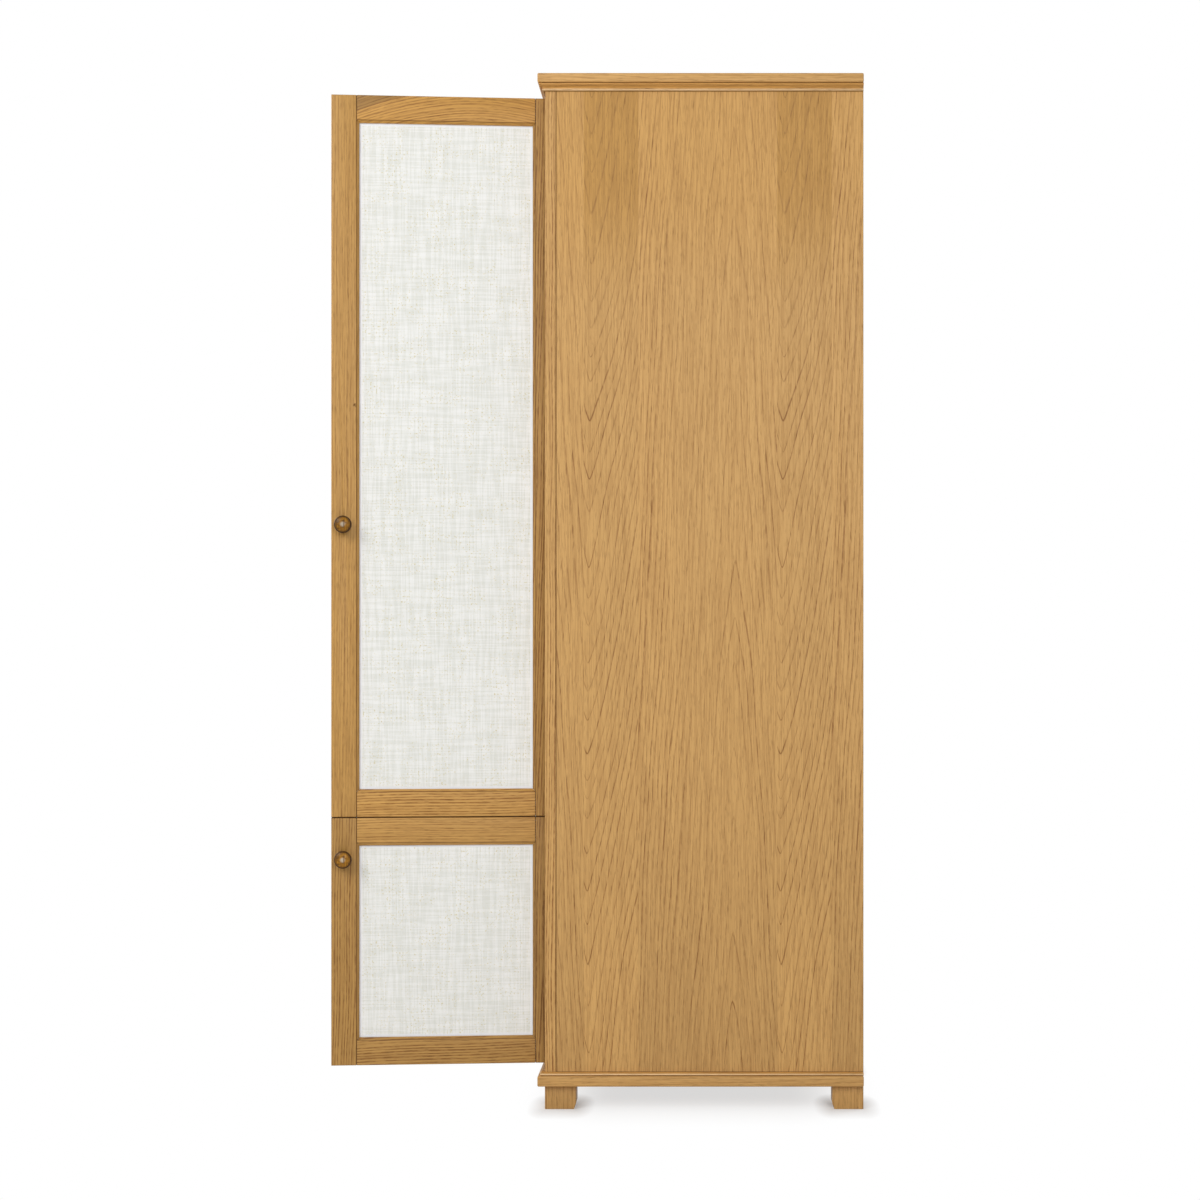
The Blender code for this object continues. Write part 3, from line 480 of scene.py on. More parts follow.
def finished_copy(node, rounding, material):
    """A copy of a solid with its faces merged and its arrises rubbed round, shown in its place."""
    solid = frame["nodes"][node]
    bpy.ops.object.select_all(action="DESELECT")
    piece = bpy.data.objects.new(node + "_finished", solid.data.copy())
    bpy.context.scene.collection.objects.link(piece)
    bpy.context.view_layer.objects.active = piece
    piece.select_set(True)
    bpy.ops.object.mode_set(mode="EDIT")
    bpy.ops.mesh.select_all(action="SELECT")
    bpy.ops.mesh.remove_doubles(threshold=MERGE_DISTANCE)
    bpy.ops.mesh.dissolve_limited(angle_limit=FLAT_ANGLE)
    bpy.ops.object.mode_set(mode="OBJECT")
    arrises = piece.modifiers.new("rubbed_arrises", "BEVEL")
    arrises.width = rounding
    arrises.segments = ARRIS_SEGMENTS
    arrises.limit_method = "ANGLE"
    arrises.angle_limit = ARRIS_ANGLE
    bpy.ops.object.modifier_apply(modifier=arrises.name)
    bpy.ops.object.shade_smooth_by_angle(angle=SMOOTH_ANGLE)
    paint(piece, material)
    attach(piece, solid["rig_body"])
    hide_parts(node)
    return piece


for foot, (heart, depth, tone) in FEET.items():
    values = dict(heart=heart, depth=depth, taper=FOOT_TAPER, tone=tone)
    foot_oak = sawn_oak(foot + "_oak", foot, "YXZ", **values)
    finished_copy(foot, FOOT_ROUNDING, foot_oak)


# Base slab and top slab
# Two flat boards that overhang the front and the sides, above and below the carcase. Their edges
# are lipped, so that the grain runs along each edge, and the arrises are taken off by hand.
SLAB_ROUNDING = 0.0006
SLAB_TAPER = 0.015
SLAB_FIGURE = 0.5
SLABS = {"base_slab": (0.12, 0.05, 0.98), "top_slab": (-0.09, 0.03, 1.03)}

for slab, (heart, depth, tone) in SLABS.items():
    values = dict(heart=heart, depth=depth, taper=SLAB_TAPER, tone=tone, figure=SLAB_FIGURE)
    slab_oak = sawn_oak(slab + "_oak", slab, "ZXY", **values)
    finished_copy(slab, SLAB_ROUNDING, slab_oak)


# Mouldings
# Lengths of moulding round the front and both sides, mitred at the corners: the cornice under the
# top, with a bead, a cove and a small bead, and a bead with a hollow on top of the base slab. The
# beads are painted pale as a highlight, and painted shade lies dark in the quirks beside them.
MOULDING_ROUNDING = 0.0002
BEAD_HIGHLIGHT_PALE = (0.760, 0.545, 0.300, 1.0)
BEAD_HIGHLIGHT_DARK = (0.500, 0.290, 0.105, 1.0)
COVE_PALE = (0.660, 0.345, 0.088, 1.0)
QUIRK = 0.0007
QUIRK_SHADE = 0.65
MOULDING_GRAIN = {"heart": 0.10, "depth": 0.02, "taper": 0.01, "figure": 0.6}
MOULDINGS = {"cornice": (0.0008, 0.0050, 0.97), "base_bead": (0.0007, 0.0043, 1.10)}

for moulding, (bead_low, bead_high, tone) in MOULDINGS.items():
    for side, order in (("front", "ZYX"), ("left", "ZXY"), ("right", "ZXY")):
        name = moulding + "_" + side
        low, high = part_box(name)
        moulding_oak, tree, shader, place = new_material(name + "_oak")
        height = split(tree, place)["Z"]
        # The bead's band gets a painted highlight, and the top and bottom quirks get painted shade.
        over = spread(tree, height, low.z + bead_low - QUIRK / 2, low.z + bead_low + QUIRK / 2)
        under = spread(tree, height, low.z + bead_high - QUIRK, low.z + bead_high, 1.0, 0.0)
        bead = calculate(tree, "MULTIPLY", over, under)
        low_band = (low.z + QUIRK / 2, low.z + 1.5 * QUIRK)
        high_band = (high.z - 1.5 * QUIRK, high.z - QUIRK / 2)
        low_quirk = spread(tree, height, *low_band, QUIRK_SHADE, 0.0)
        high_quirk = spread(tree, height, *high_band, 0.0, QUIRK_SHADE)
        values = {"seam": calculate(tree, "MAXIMUM", low_quirk, high_quirk), "tone": tone}
        position = board_position(tree, place, order, (low + high) / 2)
        values["pale"] = blend_colours(tree, bead, COVE_PALE, BEAD_HIGHLIGHT_PALE)
        values["dark"] = blend_colours(tree, bead, OAK_DARK, BEAD_HIGHLIGHT_DARK)
        oak_finish(tree, shader, position, **MOULDING_GRAIN, **values)
        finished_copy(name, MOULDING_ROUNDING, moulding_oak)


# Side panels
# Oak veneer on board, in leaves laid side by side: a narrow leaf and a wide one, again and again,
# from one flitch, so that each repeats the figure of the last. The grain arches up in the wide
# leaves and down in the narrow ones, and the two take the light differently.
LEAF_PAIR = 0.3551
NARROW_LEAF = 0.1000
FIRST_NARROW_LEAF = 0.0512
WIDE_HEART = 0.274
NARROW_HEART = 0.010
WIDE_TAPER = 0.052
NARROW_TAPER = -0.120
WIDE_DEPTH = 0.050
NARROW_DEPTH = 0.045
NARROW_TONE_LOW = 1.09
NARROW_LOW_END = (0.20, 0.50)
NARROW_TONE_MIDDLE = 0.95
NARROW_MIDDLE_START = (0.55, 0.85)
NARROW_TONE_HIGH = 0.82
NARROW_HIGH_END = (1.45, 1.72)
NARROW_WARM = (0.640, 0.340, 0.080, 1.0)
WIDE_WARMTH = 0.40
NARROW_FIGURE_FADE = (1.25, 1.45, 0.95, 0.55)
WIDE_FIGURE = 0.95
PANEL_SHADE_LOW = 0.90
PANEL_SHADE_HIGH = 0.985
PANEL_SHADE_RISE = 0.70
JOINT_LINE = 0.0022
FRONT_JOINT_SHADE = 0.95
BASE_JOINT_SHADE = 0.6
LEFT_LEAF_SHIFT = 0.16
LEFT_SLIDE = 0.6
EVEN_TONE_AT = 1.0


def make_veneer_leaves():
    """Fold a position across a board into repeated leaves, and say which kind each one is."""
    inputs = [("Across", "Float"), ("Along", "Float")]
    names = ("Across", "Heart", "Depth", "Taper", "Tone", "Figure", "Warmth")
    group, given, result = open_group("veneer_leaves", inputs, [(name, "Float") for name in names])
    along = given["Along"]
    within = calculate(group, "FLOORED_MODULO", given["Across"], LEAF_PAIR)
    is_narrow = calculate(group, "LESS_THAN", within, NARROW_LEAF)
    group.links.new(within, result["Across"])
    group.links.new(spread(group, is_narrow, 0.0, 1.0, WIDE_HEART, NARROW_HEART), result["Heart"])
    group.links.new(spread(group, is_narrow, 0.0, 1.0, WIDE_DEPTH, NARROW_DEPTH), result["Depth"])
    group.links.new(spread(group, is_narrow, 0.0, 1.0, WIDE_TAPER, NARROW_TAPER), result["Taper"])
    low_change = spread(group, along, *NARROW_LOW_END, NARROW_TONE_LOW - 1.0, 0.0)
    middle_change = spread(group, along, *NARROW_MIDDLE_START, 0.0, NARROW_TONE_MIDDLE - 1.0)
    high_step = NARROW_TONE_HIGH - NARROW_TONE_MIDDLE
    high_change = spread(group, along, *NARROW_HIGH_END, 0.0, high_step)
    upper_change = calculate(group, "ADD", middle_change, high_change)
    narrow_change = calculate(group, "ADD", low_change, upper_change)
    # Painted shade: the whole panel grows darker towards its foot.
    rise = (side_low.z, side_low.z + PANEL_SHADE_RISE)
    panel_shade = spread(group, along, *rise, PANEL_SHADE_LOW, PANEL_SHADE_HIGH)
    tone = calculate(group, "MULTIPLY_ADD", is_narrow, narrow_change, panel_shade)
    group.links.new(tone, result["Tone"])
    warm_share = calculate(group, "MULTIPLY_ADD", is_narrow, 1.0 - WIDE_WARMTH, WIDE_WARMTH)
    warmth = calculate(group, "MULTIPLY", warm_share, spread(group, along, *NARROW_HIGH_END))
    group.links.new(warmth, result["Warmth"])
    narrow_figure = spread(group, along, *NARROW_FIGURE_FADE)
    figure_change = calculate(group, "SUBTRACT", narrow_figure, WIDE_FIGURE)
    figure = calculate(group, "MULTIPLY_ADD", is_narrow, figure_change, WIDE_FIGURE)
    group.links.new(figure, result["Figure"])
    return group


VENEER_LEAVES = make_veneer_leaves()


def veneered_oak(name, order, first_leaf, slide_along=0.0, toned_at=None):
    """Oak veneer in leaves over a board. The first narrow leaf starts at a place across it."""
    material, tree, shader, place = new_material(name)
    board = split(tree, board_position(tree, place, order))
    leaves = tree.nodes.new("ShaderNodeGroup")
    leaves.node_tree = VENEER_LEAVES
    leaf = leaves.outputs
    tree.links.new(calculate(tree, "SUBTRACT", board["X"], first_leaf), leaves.inputs["Across"])
    wire(tree, leaves.inputs["Along"], board["Z"] if toned_at is None else toned_at)
    along = calculate(tree, "ADD", board["Z"], slide_along)
    values = {key.lower(): leaf[key] for key in ("Heart", "Depth", "Taper", "Tone", "Figure")}
    position = join(tree, leaf["Across"], board["Y"], along)
    parts = split(tree, place)
    front_band = (side_low.y, side_low.y + JOINT_LINE)
    near_front = spread(tree, parts["Y"], *front_band, FRONT_JOINT_SHADE, 0.0)
    # Painted shade runs along the panel's foot, where it meets the base bead.
    bead_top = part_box("base_bead_right")[1].z
    base_band = (bead_top, bead_top + JOINT_LINE)
    near_base = spread(tree, parts["Z"], *base_band, BASE_JOINT_SHADE, 0.0)
    values["seam"] = calculate(tree, "MAXIMUM", near_front, near_base)
    values["pale"] = blend_colours(tree, leaf["Warmth"], OAK_PALE, NARROW_WARM)
    oak_finish(tree, shader, position, **values)
    return material


right_leaf = side_low.y + FIRST_NARROW_LEAF
paint(frame["nodes"]["right_side_panel"], veneered_oak("right_side_veneer", "YXZ", right_leaf))
left_leaf = right_leaf + LEFT_LEAF_SHIFT
left_veneer = veneered_oak("left_side_veneer", "YXZ", left_leaf, LEFT_SLIDE, EVEN_TONE_AT)
paint(frame["nodes"]["left_side_panel"], left_veneer)


# Front stiles and top rail
# Solid strips glued to the front edges of the side panels and sanded flush, with a fine dark
# line where they meet, and a rail of the same stuff between them over the upper door.
STRIP_TAPER = 0.01
CARCASE_STRIPS = {
    "right_front_stile": ("YXZ", 0.09, 0.02),
    "left_front_stile": ("YXZ", -0.08, 0.03),
    "top_rail": ("ZYX", 0.07, 0.03),
}

for strip, (order, heart, depth) in CARCASE_STRIPS.items():
    values = dict(heart=heart, depth=depth, taper=STRIP_TAPER)
    paint(frame["nodes"][strip], sawn_oak(strip + "_oak", strip, order, **values))


# Boards between the sides
# The bottom board, the middle shelf behind the gap between the doors, the back, and the loose
# shelves, all veneered. Each loose shelf lies on a strip of solid oak at either side.
LEVEL_BOARDS = {
    "bottom_board": 0.05,
    "lower_shelf_1": 0.13,
    "middle_shelf": 0.21,
    "upper_shelf_1": 0.29,
    "upper_shelf_2": 0.02,
}
BEARER_HEART = 0.08
BEARER_TONE = 0.97
BACK_LEAF = -0.09
BACK_SLIDE = 0.5

for board, first_leaf in LEVEL_BOARDS.items():
    board_oak = veneered_oak(board + "_veneer", "YZX", first_leaf, first_leaf, EVEN_TONE_AT)
    paint(frame["nodes"][board], board_oak)
    for side in ("left", "right"):
        bearer = board + "_" + side + "_bearer"
        if bearer in frame["nodes"]:
            values = dict(heart=BEARER_HEART + first_leaf, tone=BEARER_TONE)
            paint(frame["nodes"][bearer], sawn_oak(bearer + "_oak", bearer, "ZXY", **values))
back_oak = veneered_oak("back_veneer", "XYZ", BACK_LEAF, BACK_SLIDE, EVEN_TONE_AT)
paint(frame["nodes"]["back_panel"], back_oak)


# Door frames
# Two stiles run the full height of each door, with two rails between them. The joints are eased
# to a fine V, and a small sloping lip runs round inside the frame, in front of the linen. One
# stile has a pin knot by its inner edge. The top rail's grain bows, with a darker wedge at one end.
FRAME_ROUNDING = 0.0003
# Columns: order, heart, depth, taper, tone, figure. Hinge stile tone: darker oak and painted shade.
FRAME_MEMBERS = {
    "upper_door_hinge_stile": ("XYZ", 0.012, 0.008, 0.050, 0.72, 1.35),
    "upper_door_free_stile": ("XYZ", 0.140, 0.020, 0.012, 0.87, 0.60),
    "upper_door_top_rail": ("ZYX", -0.016, 0.010, 0.060, 0.93, 0.80),
    "upper_door_bottom_rail": ("ZYX", 0.055, 0.020, 0.030, 0.98, 1.25),
    "lower_door_hinge_stile": ("XYZ", -0.006, 0.008, 0.040, 0.66, 1.35),
    "lower_door_free_stile": ("XYZ", 0.020, 0.012, 0.030, 0.76, 1.00),
    "lower_door_top_rail": ("ZYX", 0.110, 0.020, 0.014, 0.90, 0.80),
    "lower_door_bottom_rail": ("ZYX", 0.040, 0.014, 0.050, 0.78, 1.25),
}
KNOT_MEMBER = "upper_door_free_stile"
KNOT_FROM_EDGE = 0.043
KNOT_HEIGHT = 1.293
KNOT_BAND = (0.0012, 0.0042, 0.9, 0.0)
KNOT_UNEVENNESS = ((520.0, 520.0, 520.0), 0.010)
BOWED_MEMBER = "upper_door_top_rail"
BOW = 0.93
BOW_APEX = 0.06
WEDGE_START = 0.0169
WEDGE_LINE = 0.0012
WEDGE_LINE_SHADE = 0.5
WEDGE_SHADE = 0.34
JOINT_SHADE = 0.95
MEMBER_JOINT_LINE = 0.0014
MEETING_SHADE = 0.0009
MEETING_REACH = 0.00045
MEETING_EDGE = 0.0020
LIP_WIDTH = 0.0050
LIP_LINE = 0.0010
LIP_SHADE = 0.60
DOOR_PALE = (0.625, 0.345, 0.094, 1.0)
DOOR_DARK = (0.280, 0.118, 0.022, 1.0)
BOWED_PALE = (0.632, 0.330, 0.074, 1.0)
DOOR_OPENING = -math.radians(frame["joints"][0]["range_deg"][0])
HINGE_AXIS = Vector(frame["joints"][0]["pos_m"])


def turned(points, angle):
    """Points turned about the doors' hinge axis."""
    turn = Matrix.Rotation(angle, 4, "Z")
    about = Matrix.Translation(HINGE_AXIS) @ turn @ Matrix.Translation(-HINGE_AXIS)
    return [about @ point for point in points]


def shut_box(node):
    """The lowest and highest corner of a door's solid, as if the door were shut."""
    points = turned([vert.co for vert in frame["nodes"][node].data.vertices], -DOOR_OPENING)
    low = Vector(min(point[axis] for point in points) for axis in range(3))
    high = Vector(max(point[axis] for point in points) for axis in range(3))
    return low, high


def shut_position(tree, place):
    """A position on an open door, turned back about the hinge axis as if the door were shut."""
    shut = tree.nodes.new("ShaderNodeMapping")
    shut.inputs["Rotation"].default_value = (0.0, 0.0, -DOOR_OPENING)
    shut.inputs["Location"].default_value = turned([Vector((0.0, 0.0, 0.0))], -DOOR_OPENING)[0]
    tree.links.new(place, shut.inputs["Vector"])
    return shut.outputs[0]


lower_top = shut_box("lower_door_hinge_stile")[1].z
upper_foot = shut_box("upper_door_hinge_stile")[0].z
shade_foot = lower_top + MEETING_REACH - MEETING_SHADE
meeting_bands = {
    "lower": (shade_foot, shade_foot + MEETING_SHADE / 2, 0.0, JOINT_SHADE),
    "upper": (upper_foot + MEETING_SHADE / 3, upper_foot + MEETING_SHADE, JOINT_SHADE, 0.0),
}

for member, (order, heart, depth, taper, tone, figure) in FRAME_MEMBERS.items():
    low, high = shut_box(member)
    member_oak, tree, shader, place = new_material(member + "_oak")
    shut_place = shut_position(tree, place)
    parts = split(tree, shut_place)

    # Dark lines at the lip's root and at a rail's two joints, and painted shade where the doors
    # meet.
    across, axis = ("Z", 2) if "rail" in member else ("X", 0)
    inner_edge = low[axis] if member.endswith(("hinge_stile", "top_rail")) else high[axis]
    off_root = distance_from(tree, distance_from(tree, parts[across], inner_edge), LIP_WIDTH)
    seam = spread(tree, off_root, LIP_LINE / 3, LIP_LINE, LIP_SHADE, 0.0)
    if "rail" in member:
        low_band = (low.x, low.x + MEMBER_JOINT_LINE)
        high_band = (high.x - MEMBER_JOINT_LINE, high.x)
        near_low = spread(tree, parts["X"], *low_band, JOINT_SHADE, 0.0)
        near_high = spread(tree, parts["X"], *high_band, 0.0, JOINT_SHADE)
        near_end = calculate(tree, "MAXIMUM", near_low, near_high)
        seam = calculate(tree, "MAXIMUM", seam, near_end)
    meeting = spread(tree, parts["Z"], *meeting_bands[member.split("_")[0]])
    seam = calculate(tree, "MAXIMUM", meeting, seam)
    if member == KNOT_MEMBER:
        from_knot = tree.nodes.new("ShaderNodeVectorMath")
        from_knot.operation = "DISTANCE"
        tree.links.new(join(tree, parts["X"], 0.0, parts["Z"]), from_knot.inputs[0])
        from_knot.inputs[1].default_value = (low.x + KNOT_FROM_EDGE, 0.0, KNOT_HEIGHT)
        uneven = sway(tree, shut_place, *KNOT_UNEVENNESS)
        off_knot = calculate(tree, "ADD", from_knot.outputs["Value"], uneven)
        seam = calculate(tree, "MAXIMUM", spread(tree, off_knot, *KNOT_BAND), seam)

    # The top rail's grain falls away on both sides of its apex, and is darker past one ring.
    position = board_position(tree, shut_place, order, (low + high) / 2)
    pale = DOOR_PALE
    if member == BOWED_MEMBER:
        pale = BOWED_PALE
        straight = split(tree, position)
        off_apex = calculate(tree, "SUBTRACT", straight["Z"], BOW_APEX)
        drop = calculate(tree, "MULTIPLY", calculate(tree, "MULTIPLY", off_apex, off_apex), BOW)
        arched = calculate(tree, "ADD", straight["X"], drop)
        position = join(tree, arched, straight["Y"], straight["Z"])
        wedge_edge = (high.z - low.z) / 2 + WEDGE_START
        into_wedge = calculate(tree, "SUBTRACT", arched, wedge_edge)
        wedge = spread(tree, into_wedge, 0.0, WEDGE_LINE)
        tone = calculate(tree, "MULTIPLY_ADD", wedge, -WEDGE_SHADE, tone)
        off_edge = calculate(tree, "ABSOLUTE", into_wedge)
        edge_line = spread(tree, off_edge, 0.0, WEDGE_LINE, WEDGE_LINE_SHADE, 0.0)
        seam = calculate(tree, "MAXIMUM", seam, edge_line)
    values = dict(heart=heart, depth=depth, taper=taper, tone=tone, figure=figure, seam=seam)
    oak_finish(tree, shader, position, pale=pale, dark=DOOR_DARK, **values)
    finished = finished_copy(member, FRAME_ROUNDING, member_oak)

    # The lower door's top edge stands a little higher, so that no light shows past the arrises.
    if member.startswith("lower_door"):
        for vert in finished.data.vertices:
            if vert.co.z > lower_top - MEETING_EDGE:
                vert.co.z += MEETING_REACH


# Panel boards
# A thin sheet of birch plywood behind each linen, which keeps the cloth flat and closes the
# door's inner face. Its face veneer is pale and close, with long soft streaks.
BIRCH_PALE = (0.640, 0.455, 0.250, 1.0)
BIRCH_DARK = (0.500, 0.325, 0.150, 1.0)
BIRCH_STREAKS = ((60.0, 60.0, 2.2), (0.3, 0.7), 3.0)
BIRCH_FLECKS = ((700.0, 700.0, 60.0), (0.58, 0.74), 1.0)
BIRCH_STREAK_SHARE = 0.6
BIRCH_FLECK_SHARE = 0.5
BIRCH_ROUGHNESS = (0.48, 0.58)
BIRCH_BUMP = (0.15, 0.0002)

birch, tree, shader, place = new_material("birch_plywood")
sheet_place = shut_position(tree, place)
streak = mottle(tree, sheet_place, *BIRCH_STREAKS)
fleck = mottle(tree, sheet_place, *BIRCH_FLECKS)
birch_share = calculate(tree, "MULTIPLY", streak, BIRCH_STREAK_SHARE)
birch_share = calculate(tree, "MULTIPLY_ADD", fleck, BIRCH_FLECK_SHARE, birch_share)
birch_colour = blend_colours(tree, birch_share, BIRCH_PALE, BIRCH_DARK)
tree.links.new(birch_colour, shader.inputs["Base Color"])
tree.links.new(spread(tree, streak, 0.0, 1.0, *BIRCH_ROUGHNESS), shader.inputs["Roughness"])
add_bump(tree, shader, streak, *BIRCH_BUMP)
for door in ("upper_door", "lower_door"):
    paint(frame["nodes"][door + "_panel_board"], birch)


# Linens
# Natural off-white linen in a plain weave of uneven yarns, stretched flat over each panel board.
# Its edges are held in the groove of the frame, behind the lip. Thick yarns make pale and grey
# dashes both ways, tan slubs show here and there, and a painted pale halo runs along the edge.
THREAD = 0.0011
THREAD_DASH = 0.020
THICK_YARN = 0.0024
THICK_DASH = 0.085
YARNS_APART = 7.31
LEVEL_YARNS_AT = 50.0
THREAD_GREY = (0.30, 0.70, 0.0, 0.10)
UPRIGHT_GREY = (0.38, 0.62, 0.0, 0.38)
LEVEL_GREY = (0.38, 0.62, 0.0, 0.32)
SLUBS = ((300.0, 0.0, 300.0), (0.58, 0.70), 1.0)
SLUB_TINGE = ((24.0, 0.0, 24.0), (0.40, 0.62, 0.15, 0.75))
LINEN_PALE = (0.960, 0.958, 0.930, 1.0)
LINEN_GREY = (0.735, 0.742, 0.676, 1.0)
LINEN_TAN = (0.660, 0.580, 0.280, 1.0)
LINEN_EDGE_HALO = (0.930, 0.950, 0.985, 1.0)
LINEN_EDGE_SHARE = 0.85
LINEN_EDGE_LINE = 0.0052
LINEN_HALO_FULL = 0.7
LINEN_HIDDEN = 0.0108
LINEN_ROUGHNESS = (0.80, 0.95)
LINEN_SPECULAR = 0.15
LINEN_SHEEN = 0.08
LINEN_RELIEF = 0.8
LINEN_BUMP = (0.5, 0.0004)
LINEN_STEPS = (24, 48)
LINEN_CLEAR = 0.0001
LINEN_PULL = 0.00012
LINEN_WAVES = (9.0, 14.0)
LINEN_SMOOTH_ANGLE = math.radians(40.0)


def hang_open(piece, door):
    """Turn a piece that was modelled on the shut door to where the open door has it."""
    points = turned([vert.co for vert in piece.data.vertices], DOOR_OPENING)
    for vert, point in zip(piece.data.vertices, points):
        vert.co = point
    piece.data.update()
    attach(piece, door)


def yarn_dashes(tree, parts, pitch, length):
    """Each upright yarn's and each level yarn's own unevenness along its length."""
    across = calculate(tree, "DIVIDE", parts["X"], pitch)
    up = calculate(tree, "DIVIDE", parts["Z"], pitch)
    upright = join(tree, calculate(tree, "FLOOR", across), up, 0.0)
    level = join(tree, across, calculate(tree, "FLOOR", up), LEVEL_YARNS_AT)
    step = pitch / length
    upright_noise = cloud(tree, upright, (YARNS_APART, step, 0.0), 1.0)
    level_noise = cloud(tree, level, (step, YARNS_APART, 1.0), 1.0)
    return upright_noise, level_noise


def blend_values(tree, share, first, second):
    """One value over another, by a share from 0 to 1."""
    node = tree.nodes.new("ShaderNodeMix")
    wire(tree, node.inputs[0], share)
    wire(tree, node.inputs[2], first)
    wire(tree, node.inputs[3], second)
    return node.outputs[0]


def yarn_back(tree, count):
    """The rounded back of each yarn, 1 along its middle, where the count is halfway."""
    turn = calculate(tree, "MULTIPLY", calculate(tree, "FRACT", count), math.pi)
    return calculate(tree, "SINE", turn)


def make_linen(name, low, high):
    """Slubby linen for a panel whose shut cloth lies between two corners."""
    material, tree, shader, place = new_material(name)
    parts = split(tree, shut_position(tree, place))
    across = calculate(tree, "DIVIDE", parts["X"], THREAD)
    up = calculate(tree, "DIVIDE", parts["Z"], THREAD)
    both = calculate(tree, "ADD", calculate(tree, "FLOOR", across), calculate(tree, "FLOOR", up))
    odd_crossing = calculate(tree, "FRACT", calculate(tree, "MULTIPLY", both, 0.5))
    level_on_top = calculate(tree, "GREATER_THAN", odd_crossing, 0.25)
    upright_fine, level_fine = yarn_dashes(tree, parts, THREAD, THREAD_DASH)
    upright_thick, level_thick = yarn_dashes(tree, parts, THICK_YARN, THICK_DASH)
    fine = blend_values(tree, level_on_top, upright_fine, level_fine)
    grey = spread(tree, fine, *THREAD_GREY)
    grey = calculate(tree, "ADD", grey, spread(tree, upright_thick, *UPRIGHT_GREY))
    grey = calculate(tree, "ADD", grey, spread(tree, level_thick, *LEVEL_GREY))
    colour = blend_colours(tree, grey, LINEN_PALE, LINEN_GREY)
    flat_place = join(tree, parts["X"], 0.0, parts["Z"])
    slub = mottle(tree, flat_place, *SLUBS)
    slub = calculate(tree, "MULTIPLY", slub, mottle(tree, flat_place, *SLUB_TINGE))
    colour = blend_colours(tree, slub, colour, LINEN_TAN)

    # A painted pale halo runs along the edge of what the lip leaves in sight.
    past_ends = []
    for axis, start, end in (("X", low.x, high.x), ("Z", low.z, high.z)):
        off_middle = distance_from(tree, parts[axis], (start + end) / 2)
        past_ends.append(calculate(tree, "SUBTRACT", off_middle, (end - start) / 2))
    past_edge = calculate(tree, "MAXIMUM", *past_ends)
    line_start = -LINEN_HIDDEN - LINEN_EDGE_LINE
    halo_full = -LINEN_HIDDEN - LINEN_EDGE_LINE * LINEN_HALO_FULL
    edge_halo = spread(tree, past_edge, line_start, halo_full, 0.0, LINEN_EDGE_SHARE)
    tree.links.new(blend_colours(tree, edge_halo, colour, LINEN_EDGE_HALO), shader.inputs["Base Color"])
    tree.links.new(spread(tree, fine, 0.0, 1.0, *LINEN_ROUGHNESS), shader.inputs["Roughness"])
    shader.inputs["Specular IOR Level"].default_value = LINEN_SPECULAR
    shader.inputs["Sheen Weight"].default_value = LINEN_SHEEN
    weave = blend_values(tree, level_on_top, yarn_back(tree, across), yarn_back(tree, up))
    relief = calculate(tree, "MULTIPLY_ADD", grey, LINEN_RELIEF, weave)
    add_bump(tree, shader, relief, *LINEN_BUMP)
    return material


for door in ("upper_door", "lower_door"):
    low, high = shut_box(door + "_linen")
    width = high.x - low.x
    height = high.z - low.z
    bpy.ops.object.select_all(action="DESELECT")
    steps_x, steps_z = LINEN_STEPS
    bpy.ops.mesh.primitive_grid_add(x_subdivisions=steps_x, y_subdivisions=steps_z, size=1.0)
    cloth = bpy.context.object
    cloth.name = door + "_linen_cloth"
    for vert in cloth.data.vertices:
        share_x = vert.co.x + 0.5
        share_z = vert.co.y + 0.5
        from_edges = math.sin(math.pi * share_x) * math.sin(math.pi * share_z)
        slack = from_edges * math.sin(LINEN_WAVES[0] * share_x + LINEN_WAVES[1] * share_z)
        depth = (low.y + high.y) / 2 + LINEN_PULL * slack
        vert.co = (low.x + width * share_x, depth, low.z + height * share_z)
    thickness = cloth.modifiers.new("cloth_thickness", "SOLIDIFY")
    thickness.thickness = high.y - low.y - 2 * (LINEN_CLEAR + LINEN_PULL)
    thickness.offset = 0.0
    bpy.ops.object.modifier_apply(modifier=thickness.name)
    bpy.ops.object.mode_set(mode="EDIT")
    bpy.ops.mesh.select_all(action="SELECT")
    bpy.ops.mesh.normals_make_consistent(inside=False)
    bpy.ops.object.mode_set(mode="OBJECT")
    bpy.ops.object.shade_smooth_by_angle(angle=LINEN_SMOOTH_ANGLE)
    paint(cloth, make_linen(door + "_slubby_linen", low, high))
    hang_open(cloth, door)
    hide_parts(door + "_linen")


# Knobs
# Turned oak knobs, stained darker than the doors and glossier, with a small foot, a waist and a
# round head, bored from behind for the screw. Painted shade darkens the rim and the waist, and a
# painted highlight lies on the middle of the crown. Blotches of stain mottle the whole knob.
KNOB_TURNS = 64
KNOB_FOOT_RADIUS = 0.0120
KNOB_FOOT_LENGTH = 0.0030
KNOB_WAIST_RADIUS = 0.0080
KNOB_HEAD_LENGTH = 0.0160
KNOB_CROWN = 0.0060
KNOB_BORE_RADIUS = 0.0023
KNOB_BORE_DEPTH = 0.0133
KNOB_BACK_ROUNDING = 0.0045
KNOB_ARC_STEPS = 12
KNOB_START_RADIUS = 0.01
KNOB_SMOOTH_ANGLE = math.radians(40.0)
KNOB_PALE = (0.380, 0.170, 0.012, 1.0)
KNOB_DARK = (0.110, 0.040, 0.003, 1.0)
KNOB_RIM_SHADE = (0.045, 0.017, 0.001, 1.0)
KNOB_PAINTED_HIGHLIGHT = (0.640, 0.580, 0.460, 1.0)
KNOB_TONES = {"upper_door": 0.97, "lower_door": 1.18}
KNOB_GRAIN = {"heart": 0.02, "depth": 0.03, "ring_width": 0.005}
KNOB_RIM_SHADE_BAND = (0.66, 0.95)
KNOB_BLOTCHES = ((150.0, 60.0, 260.0), (0.42, 0.66, 0.0, 0.7))
